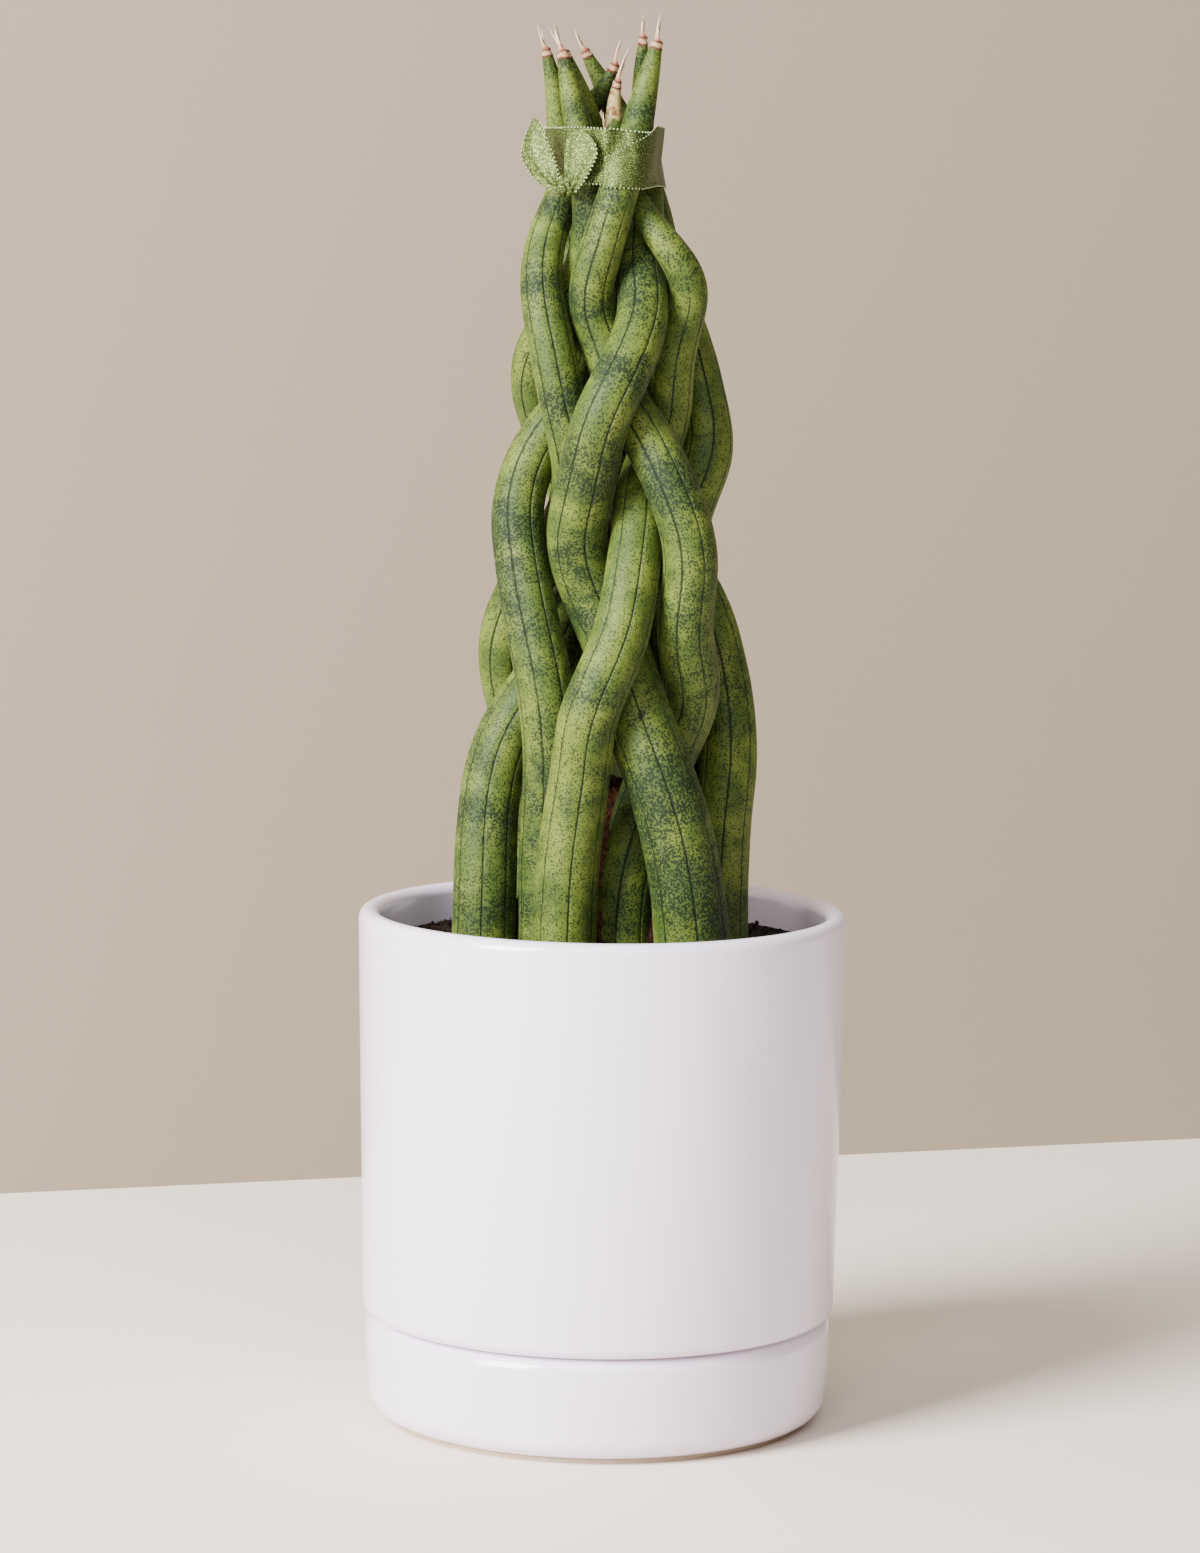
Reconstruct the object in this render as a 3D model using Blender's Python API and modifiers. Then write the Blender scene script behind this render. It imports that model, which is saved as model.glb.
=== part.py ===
"""A braided round-leaf snake plant in a glazed cylinder pot on a saucer.

Metres, +Z up. The origin is on the floor at the centre of the saucer's foot, and -Y is the front.
"""
import bpy
import bmesh
import numpy as np
from math import cos, pi, sin
from mathutils.geometry import convex_hull_2d

MM = 0.001
CLEARANCE = 0.3 * MM  # between pieces that rest on or in each other
WELD = 0.01 * MM  # corners closer than this are one corner

# Saucer
FOOT_RADIUS = 77.6 * MM
FOOT_WIDTH = 7.0 * MM
FOOT_HEIGHT = 1.8 * MM
FOOT_EDGE = 0.3 * MM  # how far the foot's walls lean in
FOOT_SETBACK = 0.8 * MM  # from the edge of the body down to the foot
SAUCER_RADIUS = 86.0 * MM
SAUCER_BASE_RADIUS = 84.7 * MM
SAUCER_WIDEST = 27.0 * MM  # height up to which the side widens
SAUCER_TOP = 39.3 * MM
SAUCER_ROUNDING = 5.5 * MM
SAUCER_CORNER = 8.1 * MM
SAUCER_WALL = 8.5 * MM
SAUCER_FLOOR = 9.8 * MM
INNER_CORNER = 6.0 * MM

# Pot
POT_TOP = 189.4 * MM
POT_TOP_RADIUS = 90.0 * MM
POT_BASE_RADIUS = 87.2 * MM
POT_WALL = 8.0 * MM
POT_FLOOR = 8.0 * MM
LIP = POT_WALL / 2  # the rim is rounded right over
SEAM_ROUNDING = 4.0 * MM
STEP_DEPTH = 6.0 * MM  # of the ring that sits inside the saucer
STEP_WIDTH = 7.0 * MM
STEP_PLAY = 0.6 * MM
DRAIN_RADIUS = 7.0 * MM
TURNED_STEPS = 56

# Soil
SOIL_LEVEL = 175.5 * MM
HEAP_HEIGHT = 63.0 * MM
HEAP_RADIUS = 31.0 * MM
HEAP_ROUNDNESS = 2.5
HEAP_APRON = 9.0 * MM  # from the heap out to the flat soil
HEAP_RINGS = (0.95, 0.85, 0.7, 0.5, 0.28, 0.1)  # heights of the heap's turned rings, as shares
POCKET_CLEARANCE = 0.6 * MM  # neighbouring pockets run together where leaves touch
POCKET_TOP = 262.0 * MM

# Leaves. A leaf is round, narrows towards its tip, and ends in a dry spike.
TIP_RADIUS = 1.9  # mm, at the brown ring where the leaf ends
SHOULDER = 4.6  # mm gained within the first few centimetres below the tip
SHOULDER_LENGTH = 28.0  # mm over which most of that is gained
TAPER_LENGTH = 300.0  # mm below the tip where a leaf has gained its full girth
TAPER_POWER = 0.8
LEAF_GAP = 1.4  # mm kept between neighbouring leaves
ROUTE_POINTS = 61
SETTLE_ROUNDS = 300
PUSH = 0.9  # share of an overlap that a round takes away
STIFFNESS = 0.35  # how firmly a leaf smooths out a kink
HOLD = 0.01  # how firmly a leaf keeps to its own route
SPIKE_RADIUS = 0.8  # mm
SPIKE_END_RADIUS = 0.3  # mm
SPIKE_NECK = 0.08  # share of the spike's length over which the leaf narrows to it
TUBE_DETAIL = 3  # ten sides

# Each leaf: the millimetres that it gains in radius down to its foot, then the points that its middle
# passes from the foot in the soil to the ring at its tip, and the end of its spike (x, y, z in mm).
# Three plaits of three leaves stand side by side in a ring: each leaf swings to an edge of its plait,
# over the outside of the next, and back under the inside of the one after.
LEAVES = {
    "front_left_leaf": (5.2, [
        (-15, -36, 140), (-14, -38, 185), (-13, -41, 213), (-10, -44, 237), (-1, -47, 270), (4, -46, 288),
        (8, -39, 311), (9, -28, 331), (12, -17, 352), (17, -14, 376), (20, -15, 395), (20, -16, 410),
        (15, -20, 424), (10, -20, 436), (7, -16, 447), (4, -13, 457), (-2, -13, 466), (-4, -13, 480)]),
    "front_right_leaf": (6.3, [
        (36, -32, 140), (32, -35, 183), (29, -39, 209), (25, -40, 226), (18, -38, 250), (11, -31, 272),
        (3, -21, 291), (-4, -20, 305), (-8, -25, 321), (-8, -32, 344), (-3, -37, 361), (4, -38, 379),
        (8, -34, 396), (10, -25, 412), (11, -15, 426), (11, -8, 437), (9, -4, 446), (8, -1, 454),
        (6, 1, 463), (3, 7, 475), (-3, 12, 487), (-11, 10, 502), (-15, 9, 510)]),
    "front_middle_leaf": (4.5, [
        (5, -22, 140), (6, -23, 185), (6, -22, 197), (9, -20, 211), (14, -17, 224), (18, -16, 241),
        (22, -21, 262), (25, -33, 292), (28, -37, 321), (25, -39, 339), (20, -39, 351), (13, -32, 365),
        (6, -22, 376), (3, -17, 390), (0, -20, 408), (-2, -23, 427), (-1, -25, 440), (3, -24, 453),
        (6, -20, 463), (8, -15, 475), (15, -12, 505), (16, -12, 515)]),
    "left_middle_leaf": (4.6, [
        (-41, -8, 140), (-42, -10, 182), (-43, -10, 208), (-42, -8, 230), (-39, -5, 248), (-33, -2, 261),
        (-25, 1, 274), (-17, 9, 290), (-9, 19, 309), (-5, 25, 331), (-17, 21, 352), (-23, 8, 381),
        (-22, 3, 394), (-18, -2, 407), (-13, -7, 420), (-11, -12, 431), (-9, -14, 450), (-10, -15, 463),
        (-13, -14, 474), (-19, -12, 501), (-22, -12, 511)]),
    "left_front_leaf": (4.4, [
        (-21, -12, 140), (-21, -13, 183), (-20, -17, 216), (-19, -21, 234), (-20, -25, 256), (-23, -27, 280),
        (-27, -25, 295), (-29, -19, 312), (-28, -11, 329), (-28, -8, 340), (-26, -5, 352), (-22, -3, 366),
        (-17, 1, 377), (-11, 6, 388), (-9, 13, 402), (-11, 18, 420), (-14, 17, 438), (-15, 14, 452),
        (-13, 10, 463), (-9, 8, 475), (-5, 3, 486), (0, 0, 497), (2, -2, 506)]),
    "left_back_leaf": (3.9, [
        (-28, 30, 140), (-28, 31, 185), (-28, 28, 220), (-29, 25, 245), (-34, 20, 262), (-36, 13, 283),
        (-32, 6, 304), (-25, -1, 321), (-16, -7, 338), (-15, -14, 355), (-17, -20, 370), (-19, -22, 382),
        (-20, -20, 397), (-21, -16, 409), (-21, -13, 420), (-19, -10, 430), (-16, -7, 440), (-14, -3, 450),
        (-15, -1, 463), (-18, -2, 475), (-25, -5, 502), (-28, -7, 511)]),
    "right_front_leaf": (4.5, [
        (42, -1, 140), (42, -1, 178), (42, 0, 200), (43, 1, 230), (42, 5, 255), (40, 9, 281), (35, 13, 301),
        (26, 14, 316), (13, 14, 332), (7, 18, 350), (8, 21, 372), (11, 21, 390), (9, 15, 410),
        (2, 8, 432), (-4, 1, 450), (-4, -2, 463), (-1, -4, 479), (1, -5, 491), (5, -7, 503)]),
    "right_back_leaf": (4.4, [
        (18, 38, 140), (18, 38, 182), (26, 34, 202), (29, 22, 225), (26, 13, 245), (23, 2, 264),
        (24, -6, 284), (24, -8, 300), (24, -6, 317), (26, -2, 333), (28, 2, 351), (31, 6, 366),
        (32, 10, 380), (28, 14, 394), (19, 18, 407), (8, 18, 422), (0, 17, 440), (-4, 14, 455),
        (-6, 6, 465), (-8, -2, 475), (-13, -5, 488), (-18, -7, 501), (-24, -8, 510)]),
    "right_middle_leaf": (4.2, [
        (27, 20, 140), (26, 20, 182), (15, 18, 205), (11, 30, 232), (15, 31, 262), (24, 29, 300),
        (24, 28, 330), (18, 13, 353), (12, 2, 368), (15, -2, 385), (17, 0, 405), (14, 7, 422), (11, 12, 438),
        (5, 17, 452), (4, 18, 463), (5, 15, 475), (9, 7, 490), (10, 3, 507), (10, 2, 515)]),
}
SLIM_LENGTH = 90.0  # mm below the tip over which a slender tip grows to its usual thickness
SLENDER_TIPS = {
    "right_front_leaf": 0.74, "front_left_leaf": 0.82, "left_front_leaf": 0.8, "right_middle_leaf": 0.74,
    "right_back_leaf": 0.82, "left_back_leaf": 0.82, "left_middle_leaf": 0.94, "front_right_leaf": 0.84}

# Ribbon
BAND_BOTTOM = 453.6 * MM
BAND_TOP = 475.0 * MM
BAND_GAP = 0.5  # mm between the leaves and the band
RIBBON_THICKNESS = 0.7  # mm
BAND_POINTS = 44
BAND_SLICES = 5  # heights at which the leaves' outlines are taken
OUTLINE_POINTS = 24  # on the outline of one leaf
KNOT_CENTRE = (-17.0, -24.4, 453.8)  # mm
KNOT_HALF_SIZE = (4.6, 3.2, 3.9)  # mm
# The two edges of each free end, from the knot outwards (x, y, z in mm)
TAIL_LEFT = (
    [(-22.6, -23.0, 452.4), (-27.6, -20.5, 455.2), (-33.0, -17.0, 464.0), (-31.6, -15.6, 471.5),
     (-29.1, -15.6, 476.0)],
    [(-21.4, -24.8, 457.4), (-21.2, -24.0, 461.0), (-22.6, -22.4, 466.4), (-24.4, -20.6, 471.3),
     (-26.2, -19.2, 475.6)])
TAIL_RIGHT = (
    [(-15.8, -25.8, 458.4), (-14.0, -25.8, 461.0), (-11.4, -26.6, 466.2), (-9.4, -28.2, 470.2)],
    [(-11.8, -27.8, 455.0), (-9.4, -29.8, 457.6), (-7.0, -31.8, 462.2), (-6.0, -32.8, 466.4)])

TAIL_STEPS = 8
TAIL_COLUMNS = 4

# Finishes: a linear colour and a roughness
GLAZE = ((0.78, 0.77, 0.77), 0.15)
SOIL = ((0.022, 0.014, 0.010), 0.95)
LEAF = ((0.20, 0.30, 0.075), 0.55)
SATIN = ((0.27, 0.38, 0.17), 0.35)


def clear_scene():
    """Take everything that a new file starts with out of the scene."""
    for item in list(bpy.data.objects):
        bpy.data.objects.remove(item, do_unlink=True)


def new_collection(name):
    """A collection in the scene."""
    group = bpy.data.collections.new(name)
    bpy.context.scene.collection.children.link(group)
    return group


def place(name, data, group):
    """An object that holds this mesh or curve, in this collection."""
    item = bpy.data.objects.new(name, data)
    group.objects.link(item)
    return item


def paint(item, finish):
    """Give a piece its own material."""
    color, roughness = finish
    material = bpy.data.materials.new(item.name)
    material.use_nodes = True
    shader = material.node_tree.nodes["Principled BSDF"]
    shader.inputs["Base Color"].default_value = (*color, 1.0)
    shader.inputs["Roughness"].default_value = roughness
    item.data.materials.append(material)


# Turned pieces

def arc(radius, height, size, start, end, count):
    """Points (radius, height) round a circle of this size, between two angles in turns."""
    angles = [2 * pi * (start + (end - start) * k / (count - 1)) for k in range(count)]
    return [(radius + size * cos(angle), height + size * sin(angle)) for angle in angles]


def turned(name, profile, closed, group):
    """Turn a profile of (radius, height) about the upright axis."""
    shape = bmesh.new()
    corners = [shape.verts.new((radius, 0, height)) for radius, height in profile]
    for first, second in zip(corners, corners[1:]):
        shape.edges.new((first, second))
    if closed:
        shape.edges.new((corners[-1], corners[0]))
    mesh = bpy.data.meshes.new(name)
    shape.to_mesh(mesh)
    shape.free()
    item = place(name, mesh, group)
    turn = item.modifiers.new("turn", "SCREW")
    turn.steps = TURNED_STEPS
    turn.render_steps = TURNED_STEPS
    turn.use_merge_vertices = True
    turn.merge_threshold = WELD
    turn.use_smooth_shade = True
    return item


def pot_outside(height):
    """The radius of the pot's outside, which narrows a little towards the base."""
    share = (height - SAUCER_TOP) / (POT_TOP - SAUCER_TOP)
    return POT_BASE_RADIUS + (POT_TOP_RADIUS - POT_BASE_RADIUS) * share


def make_saucer(group):
    """The dish under the pot. It stands on a narrow foot and holds the water that drains."""
    inner = SAUCER_RADIUS - SAUCER_WALL
    shoulder = SAUCER_ROUNDING
    profile = [(0, SAUCER_FLOOR)]
    profile += arc(inner - INNER_CORNER, SAUCER_FLOOR + INNER_CORNER, INNER_CORNER, -0.25, 0, 4)
    profile.append((inner, SAUCER_TOP))
    profile += arc(SAUCER_RADIUS - shoulder, SAUCER_TOP - shoulder, shoulder, 0.25, 0, 5)
    profile.append((SAUCER_RADIUS, SAUCER_WIDEST))
    bend = SAUCER_BASE_RADIUS - SAUCER_CORNER
    profile += arc(bend, FOOT_HEIGHT + SAUCER_CORNER, SAUCER_CORNER, 0, -0.22, 5)
    profile += [(FOOT_RADIUS + FOOT_SETBACK, FOOT_HEIGHT), (FOOT_RADIUS, FOOT_HEIGHT)]
    profile += [(FOOT_RADIUS - FOOT_EDGE, 0), (FOOT_RADIUS - FOOT_WIDTH, 0)]
    profile += [(FOOT_RADIUS - FOOT_WIDTH - FOOT_EDGE, FOOT_HEIGHT), (0, FOOT_HEIGHT)]
    saucer = turned("saucer", profile, False, group)
    paint(saucer, GLAZE)


def make_pot(group):
    """The pot. Its base rests on the saucer's edge, and a ring under it sits inside the saucer."""
    base = SAUCER_TOP + CLEARANCE
    ring_outer = SAUCER_RADIUS - SAUCER_WALL - STEP_PLAY
    ring_inner = ring_outer - STEP_WIDTH
    floor = base + POT_FLOOR
    lip_height = POT_TOP - LIP
    ridge = pot_outside(lip_height) - LIP
    profile = arc(ridge, lip_height, LIP, 0.25, 0, 5)
    profile += arc(pot_outside(base) - SEAM_ROUNDING, base + SEAM_ROUNDING, SEAM_ROUNDING, 0, -0.25, 5)
    profile += [(ring_outer, base), (ring_outer, base - STEP_DEPTH)]
    profile += [(ring_inner, base - STEP_DEPTH), (ring_inner, base)]
    profile += [(DRAIN_RADIUS, base), (DRAIN_RADIUS, floor)]
    bend = pot_outside(floor) - POT_WALL - INNER_CORNER
    profile += arc(bend, floor + INNER_CORNER, INNER_CORNER, -0.25, 0, 4)
    profile += arc(ridge, lip_height, LIP, 0.5, 0.3125, 4)
    pot = turned("pot", profile, True, group)
    paint(pot, GLAZE)


# Leaves

def smooth_route(points, count):
    """Even points on a smooth curve that passes through these points."""
    points = np.asarray(points, float)
    along = np.append(0, np.cumsum(np.linalg.norm(np.diff(points, axis=0), axis=1)))
    slope = np.gradient(points, along, axis=0)
    at = np.linspace(0, along[-1], count)
    before = np.clip(np.searchsorted(along, at, side="right") - 1, 0, len(along) - 2)
    span = (along[before + 1] - along[before])[:, None]
    t = (at - along[before])[:, None] / span
    start = (2 * t ** 3 - 3 * t ** 2 + 1) * points[before] + (t ** 3 - 2 * t ** 2 + t) * span * slope[before]
    end = (3 * t ** 2 - 2 * t ** 3) * points[before + 1] + (t ** 3 - t ** 2) * span * slope[before + 1]
    return start + end


def leaf_radii(route, girth, slimness):
    """The leaf's radius at each point of its route, from its foot to the ring at its tip."""
    steps = np.linalg.norm(np.diff(route, axis=0), axis=1)
    below_tip = np.append(np.cumsum(steps[::-1])[::-1], 0)
    radii = TIP_RADIUS + SHOULDER * (1 - np.exp(-below_tip / SHOULDER_LENGTH))
    radii += girth * (below_tip / TAPER_LENGTH) ** TAPER_POWER
    full = np.clip(below_tip / SLIM_LENGTH, 0, 1)
    return radii * (slimness + (1 - slimness) * full)


def nearest_on(points, route, radii):
    """For each point, the nearest place on a route, the leaf's radius there, and the distance."""
    start = route[:-1]
    run = route[1:] - start
    offset = points[:, None] - start[None]
    share = np.clip((offset * run).sum(2) / (run * run).sum(1), 0, 1)
    places = start + share[..., None] * run
    distance = np.linalg.norm(points[:, None] - places, axis=2)
    best = distance.argmin(1)
    row = np.arange(len(points))
    part = share[row, best]
    return places[row, best], radii[best] * (1 - part) + radii[best + 1] * part, distance[row, best]


def settle(routes, radii):
    """Push the leaves sideways until they lie against each other, as tied leaves do."""
    home = {name: route.copy() for name, route in routes.items()}
    for _ in range(SETTLE_ROUNDS):
        moves = {}
        for name, route in routes.items():
            push = np.zeros_like(route)
            count = np.zeros(len(route))
            for other in routes:
                if other == name:
                    continue
                place_on, width, distance = nearest_on(route, routes[other], radii[other])
                overlap = radii[name] + width + LEAF_GAP - distance
                touching = overlap > 0
                away = (route - place_on) / np.maximum(distance, 0.001)[:, None]
                push[touching] += away[touching] * overlap[touching, None] / 2
                count[touching] += 1
            moves[name] = push / np.maximum(count, 1)[:, None]
        for name, route in routes.items():
            bend = np.zeros_like(route)
            kink = np.zeros_like(route)
            route[:, :2] += PUSH * moves[name][:, :2]
            bend[1:-1, :2] = ((route[2:] + route[:-2]) / 2 - route[1:-1])[:, :2]
            kink[2:-2] = bend[2:-2] - (bend[1:-3] + bend[3:-1]) / 2
            route += STIFFNESS * kink
            route[:, :2] += HOLD * (home[name] - route)[:, :2]
    return routes


def tube(name, points, radii, group):
    """A closed round tube through these points, with a radius at each, both in mm."""
    curve = bpy.data.curves.new(name, "CURVE")
    curve.dimensions = "3D"
    curve.bevel_depth = MM
    curve.bevel_resolution = TUBE_DETAIL
    curve.use_fill_caps = True
    line = curve.splines.new("POLY")
    line.points.add(len(points) - 1)
    for knot, centre, radius in zip(line.points, points, radii):
        knot.co = (*(centre * MM), 1)
        knot.radius = radius
    return place(name, curve, group)


def as_mesh(item, group):
    """Turn a tube into a welded mesh object of the same name."""
    bpy.context.view_layer.update()
    mesh = bpy.data.meshes.new_from_object(item.evaluated_get(bpy.context.evaluated_depsgraph_get()))
    name = item.name
    frame = item.matrix_world.copy()
    bpy.data.objects.remove(item, do_unlink=True)
    shape = bmesh.new()
    shape.from_mesh(mesh)
    bmesh.ops.remove_doubles(shape, verts=shape.verts, dist=WELD)
    shape.to_mesh(mesh)
    shape.free()
    solid = place(name, mesh, group)
    solid.matrix_world = frame
    return solid


def make_leaf(name, route, radii, spike_end, group):
    """One leaf with its dry spike. Each second point of its route is enough for the solid."""
    spike_start = route[-1] + (spike_end - route[-1]) * SPIKE_NECK
    points = np.vstack([route[::2], spike_start, spike_end])
    widths = np.append(radii[::2], (SPIKE_RADIUS, SPIKE_END_RADIUS))
    leaf = as_mesh(tube(name, points, widths, group), group)
    leaf.data.shade_smooth()
    paint(leaf, LEAF)


def make_pocket(name, route, radii, cutters):
    """The cutter for the hole in the soil that a leaf's foot fills."""
    low = route[::2]
    inside = low[:, 2] * MM < POCKET_TOP
    points = low[inside]
    widths = radii[::2][inside] + POCKET_CLEARANCE / MM
    down = (points[0] - points[1]) / np.linalg.norm(points[0] - points[1])
    points[0] += down * POCKET_CLEARANCE / MM
    pocket = as_mesh(tube(name + "_pocket", points, widths, cutters), cutters)
    pocket.hide_render = True
    pocket.display_type = "WIRE"
    return pocket


# Soil

def make_soil(pockets, group):
    """The soil, with a heap inside the braid and a hole for the foot of every leaf."""
    floor = SAUCER_TOP + CLEARANCE + POT_FLOOR + CLEARANCE
    gap = POT_WALL + CLEARANCE
    profile = [(0, SOIL_LEVEL + HEAP_HEIGHT)]
    for share in HEAP_RINGS:
        radius = HEAP_RADIUS * (1 - share ** HEAP_ROUNDNESS) ** 0.5
        profile.append((radius, SOIL_LEVEL + share * HEAP_HEIGHT))
    profile += [(HEAP_RADIUS + HEAP_APRON, SOIL_LEVEL), (pot_outside(SOIL_LEVEL) - gap, SOIL_LEVEL)]
    profile += arc(pot_outside(floor) - gap - INNER_CORNER, floor + INNER_CORNER, INNER_CORNER, 0, -0.25, 4)
    profile.append((0, floor))
    soil = turned("soil", profile, False, group)
    for pocket in pockets:
        cut = soil.modifiers.new(pocket.name, "BOOLEAN")
        cut.operation = "DIFFERENCE"
        cut.solver = "EXACT"
        cut.object = pocket
    paint(soil, SOIL)


# Ribbon

def band_outline(routes, radii):
    """The line that a ribbon pulled tight round the leaves takes, seen from above, in mm."""
    circle = arc(0, 0, 1, 0, 1, OUTLINE_POINTS)
    dots = []
    for name, route in routes.items():
        for height in np.linspace(BAND_BOTTOM, BAND_TOP, BAND_SLICES) / MM:
            if height > route[-1, 2]:
                continue
            rows = (route[:, 0], route[:, 1], radii[name] + BAND_GAP)
            x, y, reach = (np.interp(height, route[:, 2], row) for row in rows)
            dots += [(x + reach * a, y + reach * b) for a, b in circle]
    hull = np.array([dots[k] for k in convex_hull_2d(dots)])
    loop = np.vstack([hull, hull[:1]])
    along = np.append(0, np.cumsum(np.linalg.norm(np.diff(loop, axis=0), axis=1)))
    at = np.linspace(0, along[-1], BAND_POINTS + 1)[:-1]
    return np.stack([np.interp(at, along, loop[:, 0]), np.interp(at, along, loop[:, 1])], axis=1)


def widened(outline, distance):
    """The same loop, moved outwards."""
    run = np.roll(outline, -1, axis=0) - np.roll(outline, 1, axis=0)
    normal = np.stack([run[:, 1], -run[:, 0]], axis=1)
    normal /= np.linalg.norm(normal, axis=1)[:, None]
    outwards = ((outline - outline.mean(0)) * normal).sum() > 0
    return outline + normal * distance * (1 if outwards else -1)


def make_band(outline, group):
    """The ribbon's turn round the leaves, as a thin upright ring."""
    curve = bpy.data.curves.new("ribbon_band", "CURVE")
    curve.dimensions = "2D"
    curve.fill_mode = "BOTH"
    curve.extrude = (BAND_TOP - BAND_BOTTOM) / 2
    for loop in (widened(outline, RIBBON_THICKNESS), outline):
        line = curve.splines.new("POLY")
        line.points.add(len(loop) - 1)
        line.use_cyclic_u = True
        for knot, (x, y) in zip(line.points, loop):
            knot.co = (x * MM, y * MM, 0, 1)
    band = place("ribbon_band", curve, group)
    band.location.z = (BAND_TOP + BAND_BOTTOM) / 2
    paint(band, SATIN)


def make_knot(group):
    """The knot, a small oval lump in front of the band."""
    shape = bmesh.new()
    bmesh.ops.create_uvsphere(shape, u_segments=12, v_segments=8, radius=MM)
    bmesh.ops.scale(shape, vec=KNOT_HALF_SIZE, verts=shape.verts)
    mesh = bpy.data.meshes.new("ribbon_knot")
    shape.to_mesh(mesh)
    shape.free()
    mesh.shade_smooth()
    knot = place("ribbon_knot", mesh, group)
    knot.location = np.array(KNOT_CENTRE) * MM
    paint(knot, SATIN)


def make_tail(name, edges, group):
    """A free end of the ribbon, stretched between its two edges."""
    left, right = (smooth_route(edge, TAIL_STEPS + 1) * MM for edge in edges)
    shape = bmesh.new()
    bmesh.ops.create_grid(shape, x_segments=TAIL_COLUMNS, y_segments=TAIL_STEPS, size=0.5)
    for corner in shape.verts:
        row = round((corner.co.y + 0.5) * TAIL_STEPS)
        across = corner.co.x + 0.5
        corner.co = left[row] * (1 - across) + right[row] * across
    mesh = bpy.data.meshes.new(name)
    shape.to_mesh(mesh)
    shape.free()
    mesh.shade_smooth()
    tail = place(name, mesh, group)
    body = tail.modifiers.new("thickness", "SOLIDIFY")
    body.thickness = RIBBON_THICKNESS * MM
    body.offset = 0
    paint(tail, SATIN)


def main():
    """Build the plant from the floor up."""
    clear_scene()
    plant = new_collection("potted_snake_plant")
    cutters = new_collection("cutters")
    make_saucer(plant)
    make_pot(plant)
    routes = {name: smooth_route(points[:-1], ROUTE_POINTS) for name, (_, points) in LEAVES.items()}
    radii = {
        name: leaf_radii(routes[name], girth, SLENDER_TIPS.get(name, 1.0))
        for name, (girth, _) in LEAVES.items()}
    settle(routes, radii)
    pockets = []
    for name, (_, points) in LEAVES.items():
        make_leaf(name, routes[name], radii[name], np.array(points[-1], float), plant)
        pockets.append(make_pocket(name, routes[name], radii[name], cutters))
    make_soil(pockets, plant)
    make_band(band_outline(routes, radii), plant)
    make_knot(plant)
    make_tail("ribbon_tail_left", TAIL_LEFT, plant)
    make_tail("ribbon_tail_right", TAIL_RIGHT, plant)


main()
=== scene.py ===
# %% [markdown]
# # A braided snake plant in a glazed pot
#
# This scene dresses a houseplant: nine round leaves of a snake plant, braided while they grew and tied
# near their tips with satin ribbon. They stand in a white glazed cylinder pot on its own saucer.
# Everything rests, so each finished piece rides the one body, called "root".

# %% Open the shared frame
from math import atan2, cos, exp, hypot, pi, radians, sin

import bmesh
import bpy
import numpy as np
from mathutils import Euler, Matrix, Vector, noise
from mathutils.geometry import convex_hull_2d


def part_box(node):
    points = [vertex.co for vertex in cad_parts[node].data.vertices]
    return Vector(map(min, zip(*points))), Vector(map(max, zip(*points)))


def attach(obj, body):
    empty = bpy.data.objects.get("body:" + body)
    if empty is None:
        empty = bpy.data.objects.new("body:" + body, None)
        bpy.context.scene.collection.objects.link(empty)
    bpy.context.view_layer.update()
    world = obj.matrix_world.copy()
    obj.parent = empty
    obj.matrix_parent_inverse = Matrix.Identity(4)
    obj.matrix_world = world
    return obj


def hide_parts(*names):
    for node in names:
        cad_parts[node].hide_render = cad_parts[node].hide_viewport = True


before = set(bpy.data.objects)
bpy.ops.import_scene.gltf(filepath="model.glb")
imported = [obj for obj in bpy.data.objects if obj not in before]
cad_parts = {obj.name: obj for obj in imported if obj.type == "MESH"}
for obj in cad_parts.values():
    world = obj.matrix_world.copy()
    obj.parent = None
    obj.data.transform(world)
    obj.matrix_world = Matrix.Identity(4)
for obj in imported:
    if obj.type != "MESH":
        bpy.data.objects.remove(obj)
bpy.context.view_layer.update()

MM = 0.001

# %% [markdown]
# ## From a bmesh to a finished piece
#
# Every new piece is modelled in a bmesh and handed over in the same way. `finish_piece` turns it into an
# object at the origin, smooths its shading except across real corners, and hides the plain solid that it
# stands for. Keeping that in one place means no piece can forget to ride the plant's body.

# %% Hand a shape over as a finished piece
ALL_SMOOTH = 180  # degrees: no edge stays sharp


def finish_piece(name, shape, material, stands_for, corner):
    """Edges over `corner` degrees stay sharp."""
    bmesh.ops.recalc_face_normals(shape, faces=shape.faces)
    mesh = bpy.data.meshes.new(name)
    shape.to_mesh(mesh)
    shape.free()
    mesh.shade_smooth()
    mesh.set_sharp_from_angle(angle=radians(corner))
    mesh.materials.append(material)
    piece = bpy.data.objects.new(name, mesh)
    bpy.context.scene.collection.objects.link(piece)
    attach(piece, "root")
    if stands_for:
        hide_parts(*stands_for)
    print(f"{name}: {len(mesh.polygons)} faces")
    return piece

# %% [markdown]
# ## Writing shader maths as sums
#
# A procedural finish is mostly arithmetic: a grain, times a band, plus a blotch. Wiring those sums by
# hand hides them in a long list of links. A `Wire` is one output of a shader node, and Python's own
# operators add the maths nodes, so each material below reads like the sum it stands for.

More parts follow.
